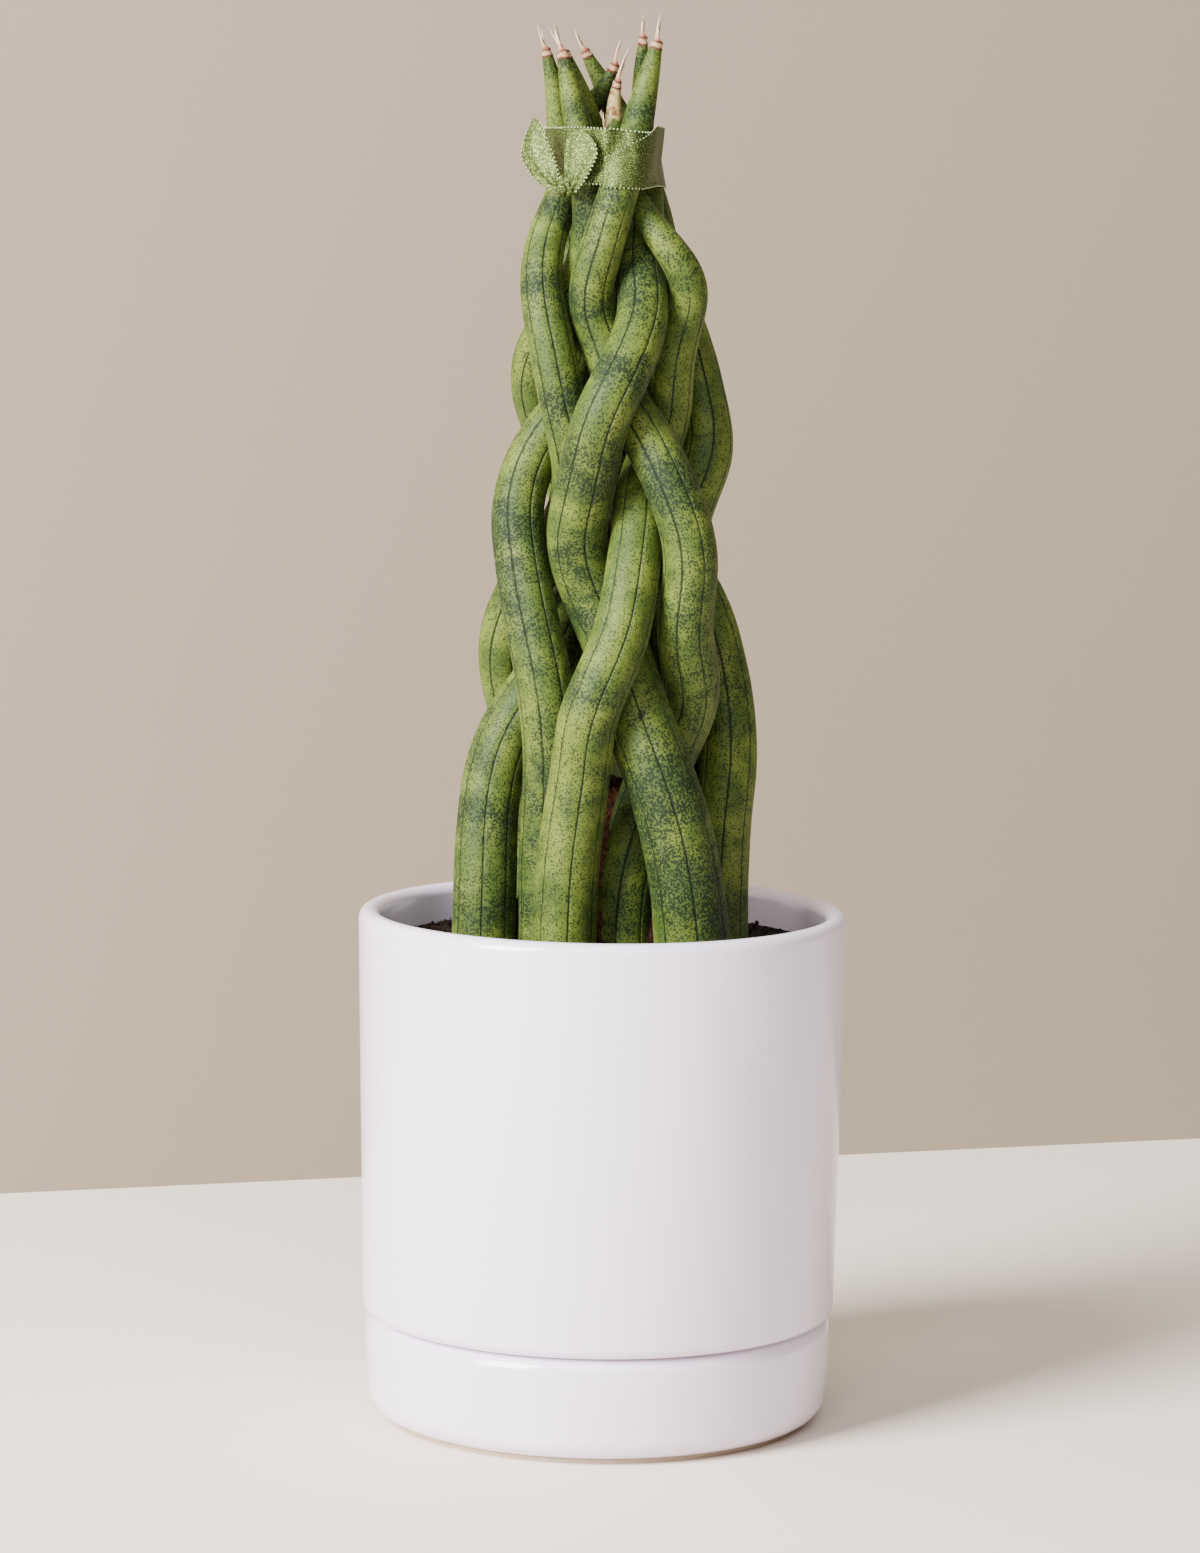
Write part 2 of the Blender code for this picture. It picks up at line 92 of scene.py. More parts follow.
# %% One small class for shader wires
class Wire:
    """One output of a shader node, which sums, products and mixes can be made from."""

    def __init__(self, tree, socket):
        self.tree = tree
        self.socket = socket

    def node(self, kind, settings, inputs, out=0):
        """Add any other node: its settings are set first, and then its inputs."""
        node = self.tree.nodes.new("ShaderNode" + kind)
        for name, value in settings.items():
            if name == "stops":
                while len(node.color_ramp.elements) < len(value):
                    node.color_ramp.elements.new(1.0)
                for element, (position, color) in zip(node.color_ramp.elements, value):
                    element.position = position
                    element.color = (*color, 1.0)
            else:
                setattr(node, name, value)
        for name, value in inputs.items():
            if isinstance(value, Wire):
                self.tree.links.new(value.socket, node.inputs[name])
            else:
                node.inputs[name].default_value = value
        return Wire(self.tree, node.outputs[out])

    def maths(self, operation, first, second):
        return self.node("Math", {"operation": operation}, {0: first, 1: second})

    def __add__(self, other):
        return self.maths("ADD", self, other)

    def __radd__(self, other):
        return self.maths("ADD", other, self)

    def __sub__(self, other):
        return self.maths("SUBTRACT", self, other)

    def __rsub__(self, other):
        return self.maths("SUBTRACT", other, self)

    def __mul__(self, other):
        return self.maths("MULTIPLY", self, other)

    def __rmul__(self, other):
        return self.maths("MULTIPLY", other, self)

    def rise(self, low, high):
        """0 below low, 1 above high and a soft slope between. With low above high it falls."""
        ends = {"Value": self, "From Min": low, "From Max": high}
        return self.node("MapRange", {"interpolation_type": "SMOOTHSTEP"}, ends)

    def mix(self, first, second):
        """A colour that goes from the first to the second as this wire goes from 0 to 1."""
        colors = [color if isinstance(color, Wire) else (*color, 1.0) for color in (first, second)]
        values = {0: self, 6: colors[0], 7: colors[1]}
        return self.node("Mix", {"data_type": "RGBA"}, values, 2)

    def stretched(self, x, y, z):
        """This vector, multiplied along each axis."""
        return self.node("VectorMath", {"operation": "MULTIPLY"}, {0: self, 1: (x, y, z)})

    def noise(self, scale, detail=2.0, roughness=0.5, distortion=0.0):
        """Soft noise at this position, around 0.5."""
        values = {"Vector": self, "Scale": scale, "Detail": detail, "Roughness": roughness}
        values["Distortion"] = distortion
        return self.node("TexNoise", {}, values)


def new_material(name, roughness, **uniform):
    """A material, its shader, a wire to start from, and what is the same all over it."""
    material = bpy.data.materials.new(name)
    material.use_nodes = True
    tree = material.node_tree
    shader = tree.nodes["Principled BSDF"]
    shader.inputs["Roughness"].default_value = roughness
    for key, value in uniform.items():
        shader.inputs[key.replace("_", " ")].default_value = value
    return material, shader, Wire(tree, None)


def object_place(start):
    """Where a point is on its object, in metres."""
    return start.node("TexCoord", {}, {}, 3)


def attribute(start, name, out=2):
    """What the mesh carries under this name: a number, or a vector with out=1."""
    return start.node("Attribute", {"attribute_name": name}, {}, out)


def feed(shader, name, wire):
    """Let a wire drive one input of a shader."""
    wire.tree.links.new(wire.socket, shader.inputs[name])


def emboss(shader, height, distance):
    """Bump a surface by this height. A height of 1 stands this far out, in metres."""
    feed(shader, "Normal", height.node("Bump", {}, {"Height": height, "Distance": distance}))

# %% [markdown]
# ## The glaze
#
# The pot and its saucer are white stoneware. The glaze is glassy, so nearly all of its detail is in how
# it bends reflections: a slow unevenness left by dipping, and a fine skin like orange peel. The colour
# hardly changes, with a breath of warm grey where the glaze pooled. Under the saucer the foot ring is
# bare clay, because a glazed foot would stick to the kiln shelf.

# %% White glaze over bare clay
GLAZE = (0.79, 0.70, 0.85)
GLAZE_POOLED = (0.76, 0.665, 0.79)
GLAZE_SPECK = (0.45, 0.40, 0.36)
CLAY = (0.55, 0.45, 0.36)
CLAY_DUSTY = (0.42, 0.33, 0.25)
FOOT_HEIGHT = 1.8 * MM


def make_glaze():
    material, shader, start = new_material("white glaze", 0.16, Coat_Weight=0.35, Coat_Roughness=0.05)
    place = object_place(start)
    height = start.node("SeparateXYZ", {}, {0: place}, 2)
    pooled = place.noise(9.0, 3.0).rise(0.42, 0.7)
    speck = place.noise(850.0, 1.0).rise(0.79, 0.83) * place.noise(60.0, 1.0).rise(0.5, 0.62)
    glazed = (speck * 0.5).mix(pooled.mix(GLAZE, GLAZE_POOLED), GLAZE_SPECK)
    bare = height.rise(FOOT_HEIGHT + 0.5 * MM, FOOT_HEIGHT + 0.1 * MM)
    chalky = place.noise(700.0, 3.0, 0.7)
    feed(shader, "Base Color", bare.mix(glazed, chalky.mix(CLAY_DUSTY, CLAY)))
    feed(shader, "Roughness", (0.13 + 0.1 * place.noise(24.0, 2.0)) * (1 - bare) + 0.85 * bare)
    uneven = place.noise(14.0, 2.0) * 0.9 + place.noise(260.0, 1.0) * 0.02 + bare * chalky * 0.4
    emboss(shader, uneven, 0.4 * MM)
    return material


glaze = make_glaze()

# %% [markdown]
# ## The pot and the saucer
#
# Both were thrown or jiggered, so both are solids of revolution: half a section, turned round once. The
# section is drawn from the lip down the outside, under the base and back up the inside. `spin` with
# `use_merge` closes the turn without a seam. Many more steps are used than the plain solid has, because
# a glossy rim shows every flat.

# %% Turn a section round the upright axis
TURNED_STEPS = 200
WELD = 0.004 * MM


def rounding(radius, height, size, start, end, count=10):
    """Points (radius, height) round a circle of this size, between two angles in turns."""
    angles = [2 * pi * (start + (end - start) * k / (count - 1)) for k in range(count)]
    return [(radius + size * cos(angle), height + size * sin(angle)) for angle in angles]


def turned(profile, closed=False):
    """Spin a section of (radius, height) points all the way round."""
    shape = bmesh.new()
    corners = [shape.verts.new((radius, 0, height)) for radius, height in profile]
    pairs = list(zip(corners, corners[1:])) + ([(corners[-1], corners[0])] if closed else [])
    edges = [shape.edges.new(pair) for pair in pairs]
    bmesh.ops.spin(
        shape, geom=corners + edges, axis=(0, 0, 1), cent=(0, 0, 0), angle=2 * pi,
        steps=TURNED_STEPS, use_merge=True)
    bmesh.ops.remove_doubles(shape, verts=shape.verts, dist=WELD)
    return shape

# %% The saucer
saucer_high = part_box("saucer")[1]
SAUCER_TOP = saucer_high[2]
SAUCER_RADIUS = saucer_high[0]
SAUCER_BASE_RADIUS = SAUCER_RADIUS - 1.3 * MM
SAUCER_WIDEST = 27 * MM
SAUCER_INNER = SAUCER_RADIUS - 8.5 * MM
SAUCER_FLOOR = 9.8 * MM
FOOT_RADIUS = 77.6 * MM
FOOT_WIDTH = 7 * MM
FOOT_EDGE = 0.3 * MM
FOOT_FLARE = 0.8 * MM
FOOT_DROP = 0.2 * MM
RIM_BEVEL = 0.6 * MM
RIM_DROP = 1 * MM
SHOULDER = 5.5 * MM
CORNER = 8.1 * MM
INNER_CORNER = 6 * MM


def make_saucer():
    profile = [(0, SAUCER_FLOOR)]
    profile += rounding(SAUCER_INNER - INNER_CORNER, SAUCER_FLOOR + INNER_CORNER, INNER_CORNER, -0.25, 0)
    profile += [(SAUCER_INNER, SAUCER_TOP - RIM_DROP), (SAUCER_INNER + RIM_BEVEL, SAUCER_TOP)]
    profile += rounding(SAUCER_RADIUS - SHOULDER, SAUCER_TOP - SHOULDER, SHOULDER, 0.25, 0, 14)
    profile.append((SAUCER_RADIUS, SAUCER_WIDEST))
    profile += rounding(SAUCER_BASE_RADIUS - CORNER, FOOT_HEIGHT + CORNER, CORNER, 0, -0.22, 14)
    profile += [(FOOT_RADIUS + FOOT_FLARE, FOOT_HEIGHT), (FOOT_RADIUS, FOOT_HEIGHT - FOOT_DROP)]
    profile += [(FOOT_RADIUS - FOOT_EDGE, 0), (FOOT_RADIUS - FOOT_WIDTH, 0)]
    profile += [(FOOT_RADIUS - FOOT_WIDTH - FOOT_EDGE, FOOT_HEIGHT), (0, FOOT_HEIGHT)]
    finish_piece("saucer_glazed", turned(profile), glaze, ["saucer"], 30)


make_saucer()

# %% The pot
POT_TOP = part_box("pot")[1][2]
CLEARANCE = 0.3 * MM
POT_BASE = SAUCER_TOP + CLEARANCE
POT_TOP_RADIUS = 90 * MM
POT_BASE_RADIUS = 87.2 * MM
WALL = 8 * MM
LIP = WALL / 2
SEAM_ROUNDING = 4 * MM
STEP_OUTER = SAUCER_INNER - 0.6 * MM
STEP_DEPTH = 6 * MM
STEP_WIDTH = 7 * MM
DRAIN_RADIUS = 7 * MM


def pot_outside(height):
    """The radius of the pot's outside at a height, which narrows a little towards the base."""
    share = (height - SAUCER_TOP) / (POT_TOP - SAUCER_TOP)
    return POT_BASE_RADIUS + (POT_TOP_RADIUS - POT_BASE_RADIUS) * share


def make_pot():
    lip_height = POT_TOP - LIP
    ridge = pot_outside(lip_height) - LIP
    floor = POT_BASE + WALL
    profile = rounding(ridge, lip_height, LIP, 0.25, 0, 14)
    base = pot_outside(POT_BASE)
    profile += rounding(base - SEAM_ROUNDING, POT_BASE + SEAM_ROUNDING, SEAM_ROUNDING, 0, -0.25)
    profile += [(STEP_OUTER, POT_BASE), (STEP_OUTER, POT_BASE - STEP_DEPTH)]
    profile += [(STEP_OUTER - STEP_WIDTH, POT_BASE - STEP_DEPTH), (STEP_OUTER - STEP_WIDTH, POT_BASE)]
    profile += [(DRAIN_RADIUS, POT_BASE), (DRAIN_RADIUS, floor)]
    bend = pot_outside(floor) - WALL - INNER_CORNER
    profile += rounding(bend, floor + INNER_CORNER, INNER_CORNER, -0.25, 0)
    profile += rounding(ridge, lip_height, LIP, 0.5, 0.27, 12)
    finish_piece("pot_glazed", turned(profile, True), glaze, ["pot"], 30)


make_pot()
print("lip at", round(POT_TOP, 4), "and seam at", round(SAUCER_TOP, 4))

# %% [markdown]
# ## The routes of the nine leaves
#
# A braid is easiest to describe leaf by leaf, as the few places that the middle of each leaf passes.
# A smooth curve through those places is only a sketch of the braid, because neighbours still cut into
# each other. So the leaves are then settled: in each round every leaf is pushed away from the leaves
# that it touches and straightened a little, as growing leaves are by their own stiffness. These are the
# same routes and rules that the plain solids were made with, so each detailed leaf lies where its
# solid does.

# %% Where each leaf goes
# Each leaf: the millimetres that it gains in radius down to its foot, then the points that its middle
# passes from the foot in the soil to the ring at its tip, and the end of its spike (x, y, z in mm).
LEAVES = {
    "front_left_leaf": (5.2, [
        (-15, -36, 140), (-14, -38, 185), (-13, -41, 213), (-10, -44, 237), (-1, -47, 270), (4, -46, 288),
        (8, -39, 311), (9, -28, 331), (12, -17, 352), (17, -14, 376), (20, -15, 395), (20, -16, 410),
        (15, -20, 424), (10, -20, 436), (7, -16, 447), (4, -13, 457), (-2, -13, 466), (-4, -13, 480)]),
    "front_right_leaf": (6.3, [
        (36, -32, 140), (32, -35, 183), (29, -39, 209), (25, -40, 226), (18, -38, 250), (11, -31, 272),
        (3, -21, 291), (-4, -20, 305), (-8, -25, 321), (-8, -32, 344), (-3, -37, 361), (4, -38, 379),
        (8, -34, 396), (10, -25, 412), (11, -15, 426), (11, -8, 437), (9, -4, 446), (8, -1, 454),
        (6, 1, 463), (3, 7, 475), (-3, 12, 487), (-11, 10, 502), (-15, 9, 510)]),
    "front_middle_leaf": (4.5, [
        (5, -22, 140), (6, -23, 185), (6, -22, 197), (9, -20, 211), (14, -17, 224), (18, -16, 241),
        (22, -21, 262), (25, -33, 292), (28, -37, 321), (25, -39, 339), (20, -39, 351), (13, -32, 365),
        (6, -22, 376), (3, -17, 390), (0, -20, 408), (-2, -23, 427), (-1, -25, 440), (3, -24, 453),
        (6, -20, 463), (8, -15, 475), (15, -12, 505), (16, -12, 515)]),
    "left_middle_leaf": (4.6, [
        (-41, -8, 140), (-42, -10, 182), (-43, -10, 208), (-42, -8, 230), (-39, -5, 248), (-33, -2, 261),
        (-25, 1, 274), (-17, 9, 290), (-9, 19, 309), (-5, 25, 331), (-17, 21, 352), (-23, 8, 381),
        (-22, 3, 394), (-18, -2, 407), (-13, -7, 420), (-11, -12, 431), (-9, -14, 450), (-10, -15, 463),
        (-13, -14, 474), (-19, -12, 501), (-22, -12, 511)]),
    "left_front_leaf": (4.4, [
        (-21, -12, 140), (-21, -13, 183), (-20, -17, 216), (-19, -21, 234), (-20, -25, 256), (-23, -27, 280),
        (-27, -25, 295), (-29, -19, 312), (-28, -11, 329), (-28, -8, 340), (-26, -5, 352), (-22, -3, 366),
        (-17, 1, 377), (-11, 6, 388), (-9, 13, 402), (-11, 18, 420), (-14, 17, 438), (-15, 14, 452),
        (-13, 10, 463), (-9, 8, 475), (-5, 3, 486), (0, 0, 497), (2, -2, 506)]),
    "left_back_leaf": (3.9, [
        (-28, 30, 140), (-28, 31, 185), (-28, 28, 220), (-29, 25, 245), (-34, 20, 262), (-36, 13, 283),
        (-32, 6, 304), (-25, -1, 321), (-16, -7, 338), (-15, -14, 355), (-17, -20, 370), (-19, -22, 382),
        (-20, -20, 397), (-21, -16, 409), (-21, -13, 420), (-19, -10, 430), (-16, -7, 440), (-14, -3, 450),
        (-15, -1, 463), (-18, -2, 475), (-25, -5, 502), (-28, -7, 511)]),
    "right_front_leaf": (4.5, [
        (42, -1, 140), (42, -1, 178), (42, 0, 200), (43, 1, 230), (42, 5, 255), (40, 9, 281), (35, 13, 301),
        (26, 14, 316), (13, 14, 332), (7, 18, 350), (8, 21, 372), (11, 21, 390), (9, 15, 410),
        (2, 8, 432), (-4, 1, 450), (-4, -2, 463), (-1, -4, 479), (1, -5, 491), (5, -7, 503)]),
    "right_back_leaf": (4.4, [
        (18, 38, 140), (18, 38, 182), (26, 34, 202), (29, 22, 225), (26, 13, 245), (23, 2, 264),
        (24, -6, 284), (24, -8, 300), (24, -6, 317), (26, -2, 333), (28, 2, 351), (31, 6, 366),
        (32, 10, 380), (28, 14, 394), (19, 18, 407), (8, 18, 422), (0, 17, 440), (-4, 14, 455),
        (-6, 6, 465), (-8, -2, 475), (-13, -5, 488), (-18, -7, 501), (-24, -8, 510)]),
    "right_middle_leaf": (4.2, [
        (27, 20, 140), (26, 20, 182), (15, 18, 205), (11, 30, 232), (15, 31, 262), (24, 29, 300),
        (24, 28, 330), (18, 13, 353), (12, 2, 368), (15, -2, 385), (17, 0, 405), (14, 7, 422), (11, 12, 438),
        (5, 17, 452), (4, 18, 463), (5, 15, 475), (9, 7, 490), (10, 3, 507), (10, 2, 515)]),
}
SLENDER_TIPS = {
    "right_front_leaf": 0.74, "front_left_leaf": 0.82, "left_front_leaf": 0.8, "right_middle_leaf": 0.74,
    "right_back_leaf": 0.82, "left_back_leaf": 0.82, "left_middle_leaf": 0.94, "front_right_leaf": 0.84}

# %% Smooth lines through a few points
def lengths_along(line):
    """How far each point of a line is from its start."""
    return np.append(0, np.cumsum(np.linalg.norm(np.diff(line, axis=0), axis=1)))


def points_at(at, along, line):
    """The points that lie this far along a line."""
    return np.stack([np.interp(at, along, column) for column in line.T], axis=1)


def smooth_route(points, count):
    """Even points on a smooth curve that passes through these points."""
    points = np.asarray(points, float)
    along = lengths_along(points)
    slope = np.gradient(points, along, axis=0)
    at = np.linspace(0, along[-1], count)
    before = np.clip(np.searchsorted(along, at, side="right") - 1, 0, len(along) - 2)
    span = (along[before + 1] - along[before])[:, None]
    t = (at - along[before])[:, None] / span
    start = (2 * t**3 - 3 * t**2 + 1) * points[before] + (t**3 - 2 * t**2 + t) * span * slope[before]
    end = (3 * t**2 - 2 * t**3) * points[before + 1] + (t**3 - t**2) * span * slope[before + 1]
    return start + end

# %% How thick a leaf is
TIP_RADIUS = 1.9  # lengths are in mm here
TIP_GAIN = 4.6
TIP_GAIN_LENGTH = 28.0
TAPER_LENGTH = 300.0
TAPER_POWER = 0.8
SLIM_LENGTH = 90.0


def leaf_radii(route, girth, slimness):
    """The leaf's radius at each point of its route, from its foot to the ring at its tip."""
    steps = np.linalg.norm(np.diff(route, axis=0), axis=1)
    below_tip = np.append(np.cumsum(steps[::-1])[::-1], 0)
    radii = TIP_RADIUS + TIP_GAIN * (1 - np.exp(-below_tip / TIP_GAIN_LENGTH))
    radii += girth * (below_tip / TAPER_LENGTH) ** TAPER_POWER
    full = np.clip(below_tip / SLIM_LENGTH, 0, 1)
    return radii * (slimness + (1 - slimness) * full)


def nearest_on(points, route, radii):
    """For each point, the nearest place on a route, the leaf's radius there, and the distance."""
    start = route[:-1]
    run = route[1:] - start
    share = np.clip(((points[:, None] - start[None]) * run).sum(2) / (run * run).sum(1), 0, 1)
    places = start + share[..., None] * run
    distance = np.linalg.norm(points[:, None] - places, axis=2)
    best = distance.argmin(1)
    row = np.arange(len(points))
    part = share[row, best]
    return places[row, best], radii[best] * (1 - part) + radii[best + 1] * part, distance[row, best]

# %% Settle the leaves against each other
LEAF_GAP = 1.4
ROUTE_POINTS = 61
SETTLE_ROUNDS = 300
PUSH = 0.9  # how much of an overlap a round takes away
STIFFNESS = 0.35
HOLD = 0.01  # how firmly a leaf keeps to its own route


def settle(routes, radii):
    """Push the leaves sideways until they lie against each other, as tied leaves do."""
    home = {name: route.copy() for name, route in routes.items()}
    for _ in range(SETTLE_ROUNDS):
        moves = {}
        for name, route in routes.items():
            push = np.zeros_like(route)
            count = np.zeros(len(route))
            for other in routes:
                if other == name:
                    continue
                place_on, width, distance = nearest_on(route, routes[other], radii[other])
                overlap = radii[name] + width + LEAF_GAP - distance
                touching = overlap > 0
                away = (route - place_on) / np.maximum(distance, 0.001)[:, None]
                push[touching] += away[touching] * overlap[touching, None] / 2
                count[touching] += 1
            moves[name] = push / np.maximum(count, 1)[:, None]
        for name, route in routes.items():
            bend = np.zeros_like(route)
            kink = np.zeros_like(route)
            route[:, :2] += PUSH * moves[name][:, :2]
            bend[1:-1, :2] = ((route[2:] + route[:-2]) / 2 - route[1:-1])[:, :2]
            kink[2:-2] = bend[2:-2] - (bend[1:-3] + bend[3:-1]) / 2
            route += STIFFNESS * kink
            route[:, :2] += HOLD * (home[name] - route)[:, :2]


routes = {name: smooth_route(points[:-1], ROUTE_POINTS) for name, (_, points) in LEAVES.items()}
radii = {
    name: leaf_radii(routes[name], girth, SLENDER_TIPS.get(name, 1.0))
    for name, (girth, _) in LEAVES.items()}
settle(routes, radii)
for name in LEAVES:
    low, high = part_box(name)
    print(name, "rises to", round(routes[name][-1, 2]), "mm in a solid that ends at", round(high.z / MM))

# %% [markdown]
# ## The skin of a leaf
#
# The leaf's colour is laid out on the straight leaf, before it is braided. Each corner of the mesh
# carries where it was on the straight leaf, in millimetres, so bands stay square to the leaf and grooves
# run along it round every bend. Four things make the skin: a yellow-green ground, a fine dark speckle,
# cross bands where the speckle crowds together under a grey bloom, and thin dark lines in the grooves.
# A few brown scabs are scattered about. The last millimetres are dry, with brown rings and a pale
# spike, and one leaf has died back further than that.

# %% Leaf material
GROUND_PALE = (0.098, 0.130, 0.0180)
GROUND_GREEN = (0.045, 0.074, 0.0090)
GROUND_DEEP = (0.019, 0.038, 0.0070)
SPECKLE = (0.0045, 0.0115, 0.0020)
BLOOM = (0.056, 0.088, 0.034)
GROOVE_DARK = (0.004, 0.010, 0.002)
SCAB = (0.050, 0.024, 0.012)
DRIED_STRAW = (0.36, 0.28, 0.11)
DRIED_RUST = (0.17, 0.060, 0.022)
TIP_STOPS = [
    (0.06, (0.66, 0.54, 0.44)), (0.30, (0.58, 0.42, 0.31)), (0.43, (0.44, 0.24, 0.15)),
    (0.485, (0.17, 0.045, 0.022)), (0.508, (0.05, 0.013, 0.009)), (0.525, (0.38, 0.24, 0.14)),
    (0.565, (0.36, 0.22, 0.12)), (0.590, (0.07, 0.018, 0.011)), (0.63, (0.08, 0.028, 0.015))]
RAMP_SPAN = 24  # the stops above run over this many mm, with the tip's ring at 0.5
DOTS_PER_MM = 1.22
SCABS_PER_MM = 0.075
LEAF_LAYERS = ("below_tip", "groove", "tone", "dried")  # numbers that each corner carries


def make_leaf_skin():
    material, shader, start = new_material(
        "leaf skin", 0.5, Specular_IOR_Level=0.20, Sheen_Weight=0.04, Sheen_Roughness=0.4,
        Sheen_Tint=(0.75, 0.95, 0.45, 1.0))
    straight = attribute(start, "straight", 1)
    below_tip, groove, tone, dried = [attribute(start, name) for name in LEAF_LAYERS]
    fine = straight.noise(1.9, 2.0, 0.65)
    coarse = straight.noise(0.42, 2.0)
    patch = straight.stretched(0.055, 0.055, 0.09).noise(1.0, 3.0, 0.6, 0.6)
    fibre = straight.stretched(2.2, 2.2, 0.09).noise(1.0, 1.0)
    dots = straight.node("TexVoronoi", {}, {"Vector": straight, "Scale": DOTS_PER_MM})
    crowded = (tone * (0.35 + 1.3 * patch) + (patch - 0.5) * 1.3).rise(-0.05, 0.6)
    halo = groove.rise(0.0, 0.5)
    grain = 0.385 + 0.20 * crowded + 0.09 * halo + (coarse - 0.5) * 0.55 + (fine - 0.5) * 0.6
    speckle = (grain - dots).rise(-0.06, 0.08)
    ground = straight.noise(0.09, 2.0).rise(0.35, 0.65).mix(GROUND_PALE, GROUND_GREEN)
    ground = (crowded * 0.7).mix(ground, GROUND_DEEP)
    bloom = crowded * straight.noise(0.2, 2.0).rise(0.46, 0.68) * 0.2
    ground = bloom.mix(ground, BLOOM)
    skin = (speckle * (0.80 + 0.15 * crowded)).mix(ground, SPECKLE)
    broken = straight.stretched(0.3, 0.3, 0.12).noise(1.0, 2.0).rise(0.3, 0.5)
    line = groove.rise(0.3, 0.75) * (0.65 + 0.35 * broken)
    skin = (line * 0.95).mix(skin, GROOVE_DARK)
    cells, chance = [
        straight.node("TexVoronoi", {}, {"Vector": straight, "Scale": SCABS_PER_MM}, out) for out in (0, 1)]
    scab = cells.rise(0.07, 0.035) * chance.node("SeparateColor", {}, {0: chance}).rise(0.7, 0.72)
    skin = (scab * 0.8).mix(skin, SCAB)
    straw = coarse.rise(0.5, 0.62).mix(DRIED_STRAW, DRIED_RUST)
    skin = (dried + (coarse - 0.5)).rise(0.3, 0.55).mix(skin, straw)
    ragged = below_tip + (coarse - 0.5) * 1.6
    on_ramp = ragged * (1 / RAMP_SPAN) + 0.5
    dry = on_ramp.node("ValToRGB", {"stops": TIP_STOPS}, {0: on_ramp})
    dead = ragged.rise(3.2, 2.2)
    feed(shader, "Base Color", dead.mix(skin, dry))
    feed(shader, "Roughness", 0.50 + 0.14 * fine + 0.1 * crowded + 0.15 * dead)
    emboss(shader, fine * 0.45 + coarse * 0.35 + fibre * 0.08 - line * 1.0 - scab * 0.6, 0.14 * MM)
    return material


leaf_skin = make_leaf_skin()

# %% [markdown]
# ## Modelling a leaf
#
# A leaf is a sheet rolled into a tube. One flat grid is made per leaf, and each row of it becomes a ring
# round the leaf. The columns aren't even: they crowd round seven grooves, so that a groove less than a
# millimetre wide is real relief and not only paint. Each ring is then carried along the leaf's route in
# a frame that turns as little as it can, which keeps the grooves from spiralling. The edges of the sheet
# are welded, its last row is drawn to a point for the spike, and the foot is closed. Two thin strands
# split off each spike.

# %% A flat grid, and the same grid rolled into a tube
def flat_grid(shape, rows, columns):
    """A flat grid's corners, each with how far it is across and up the grid, from 0 to 1."""
    made = bmesh.ops.create_grid(shape, x_segments=columns, y_segments=rows, size=0.5)["verts"]
    return [(corner, corner.co.x + 0.5, corner.co.y + 0.5) for corner in made]


def rolled_sheet(shape, rows, columns):
    """Add a flat grid, weld its two sides into a tube, and return its corners, a row for each ring."""
    grid = [[None] * (columns + 1) for _ in range(rows + 1)]
    for corner, across, up in flat_grid(shape, rows, columns):
        grid[round(up * rows)][round(across * columns)] = corner
    bmesh.ops.weld_verts(shape, targetmap={line[-1]: line[0] for line in grid})
    return [line[:-1] for line in grid]


def close_ends(shape, rings):
    """Draw the first and the last ring of a tube together."""
    for ring in (rings[0], rings[-1]):
        middle = sum((corner.co for corner in ring), Vector()) / len(ring)
        bmesh.ops.pointmerge(shape, verts=ring, merge_co=middle)

# %% Frames that turn as little as they can, and a plain strand
def carried_frames(centres):
    """Directions out of a line at each point: a front and a side, which turn as little as they can."""
    ahead = np.gradient(centres, axis=0)
    ahead /= np.linalg.norm(ahead, axis=1)[:, None]
    front = np.array([0.0, -1.0, 0.0])
    fronts = []
    for direction in ahead:
        front = front - direction * front.dot(direction)
        front /= np.linalg.norm(front)
        fronts.append(front)
    fronts = np.array(fronts)
    return fronts, np.cross(ahead, fronts)


def tube_along(shape, centres, widths, sides):
    """A plain round strand with pointed ends."""
    fronts, across = carried_frames(centres)
    rings = rolled_sheet(shape, len(centres) - 1, sides)
    angles = 2 * pi * np.arange(sides) / sides
    for ring, centre, width, front, side in zip(rings, centres, widths, fronts, across):
        for corner, angle in zip(ring, angles):
            corner.co = (centre + width * (cos(angle) * front + sin(angle) * side)) * MM
    close_ends(shape, rings)

# %% [markdown]
# ## Where the grooves run
#
# Grooves on a real leaf are never quite evenly spaced or equally deep, so both are drawn by chance. They
# fade out towards the thin end, where the leaf is smooth. Between two grooves the skin is slightly crowned.

# %% The plan of a leaf's columns
AROUND_GROOVE = (-1.1, -0.45, -0.2, 0.0, 0.2, 0.45, 1.1)  # columns, in mm from the groove's middle
BETWEEN = 5  # columns on the panel between two grooves
PANEL_MARGIN = 0.22
GROOVES = 7
GROOVE_JITTER = 0.07
AROUND = GROOVES * (len(AROUND_GROOVE) + BETWEEN)
GROOVE_DEPTH = 0.26
GROOVE_SPREAD = 0.42
GROOVE_FADE = 105.0  # the grooves fade out over this length below the tip
PANEL_CROWN = 0.14
FULL_RELIEF_RADIUS = 7.5  # the relief shrinks on a leaf that is thinner than this
TURNS = {  # degrees from the front to the first groove
    "front_left_leaf": 5, "front_right_leaf": 6, "front_middle_leaf": -9, "left_middle_leaf": -5,
    "left_front_leaf": -13, "left_back_leaf": 15, "right_front_leaf": 0, "right_back_leaf": 20,
    "right_middle_leaf": 12}


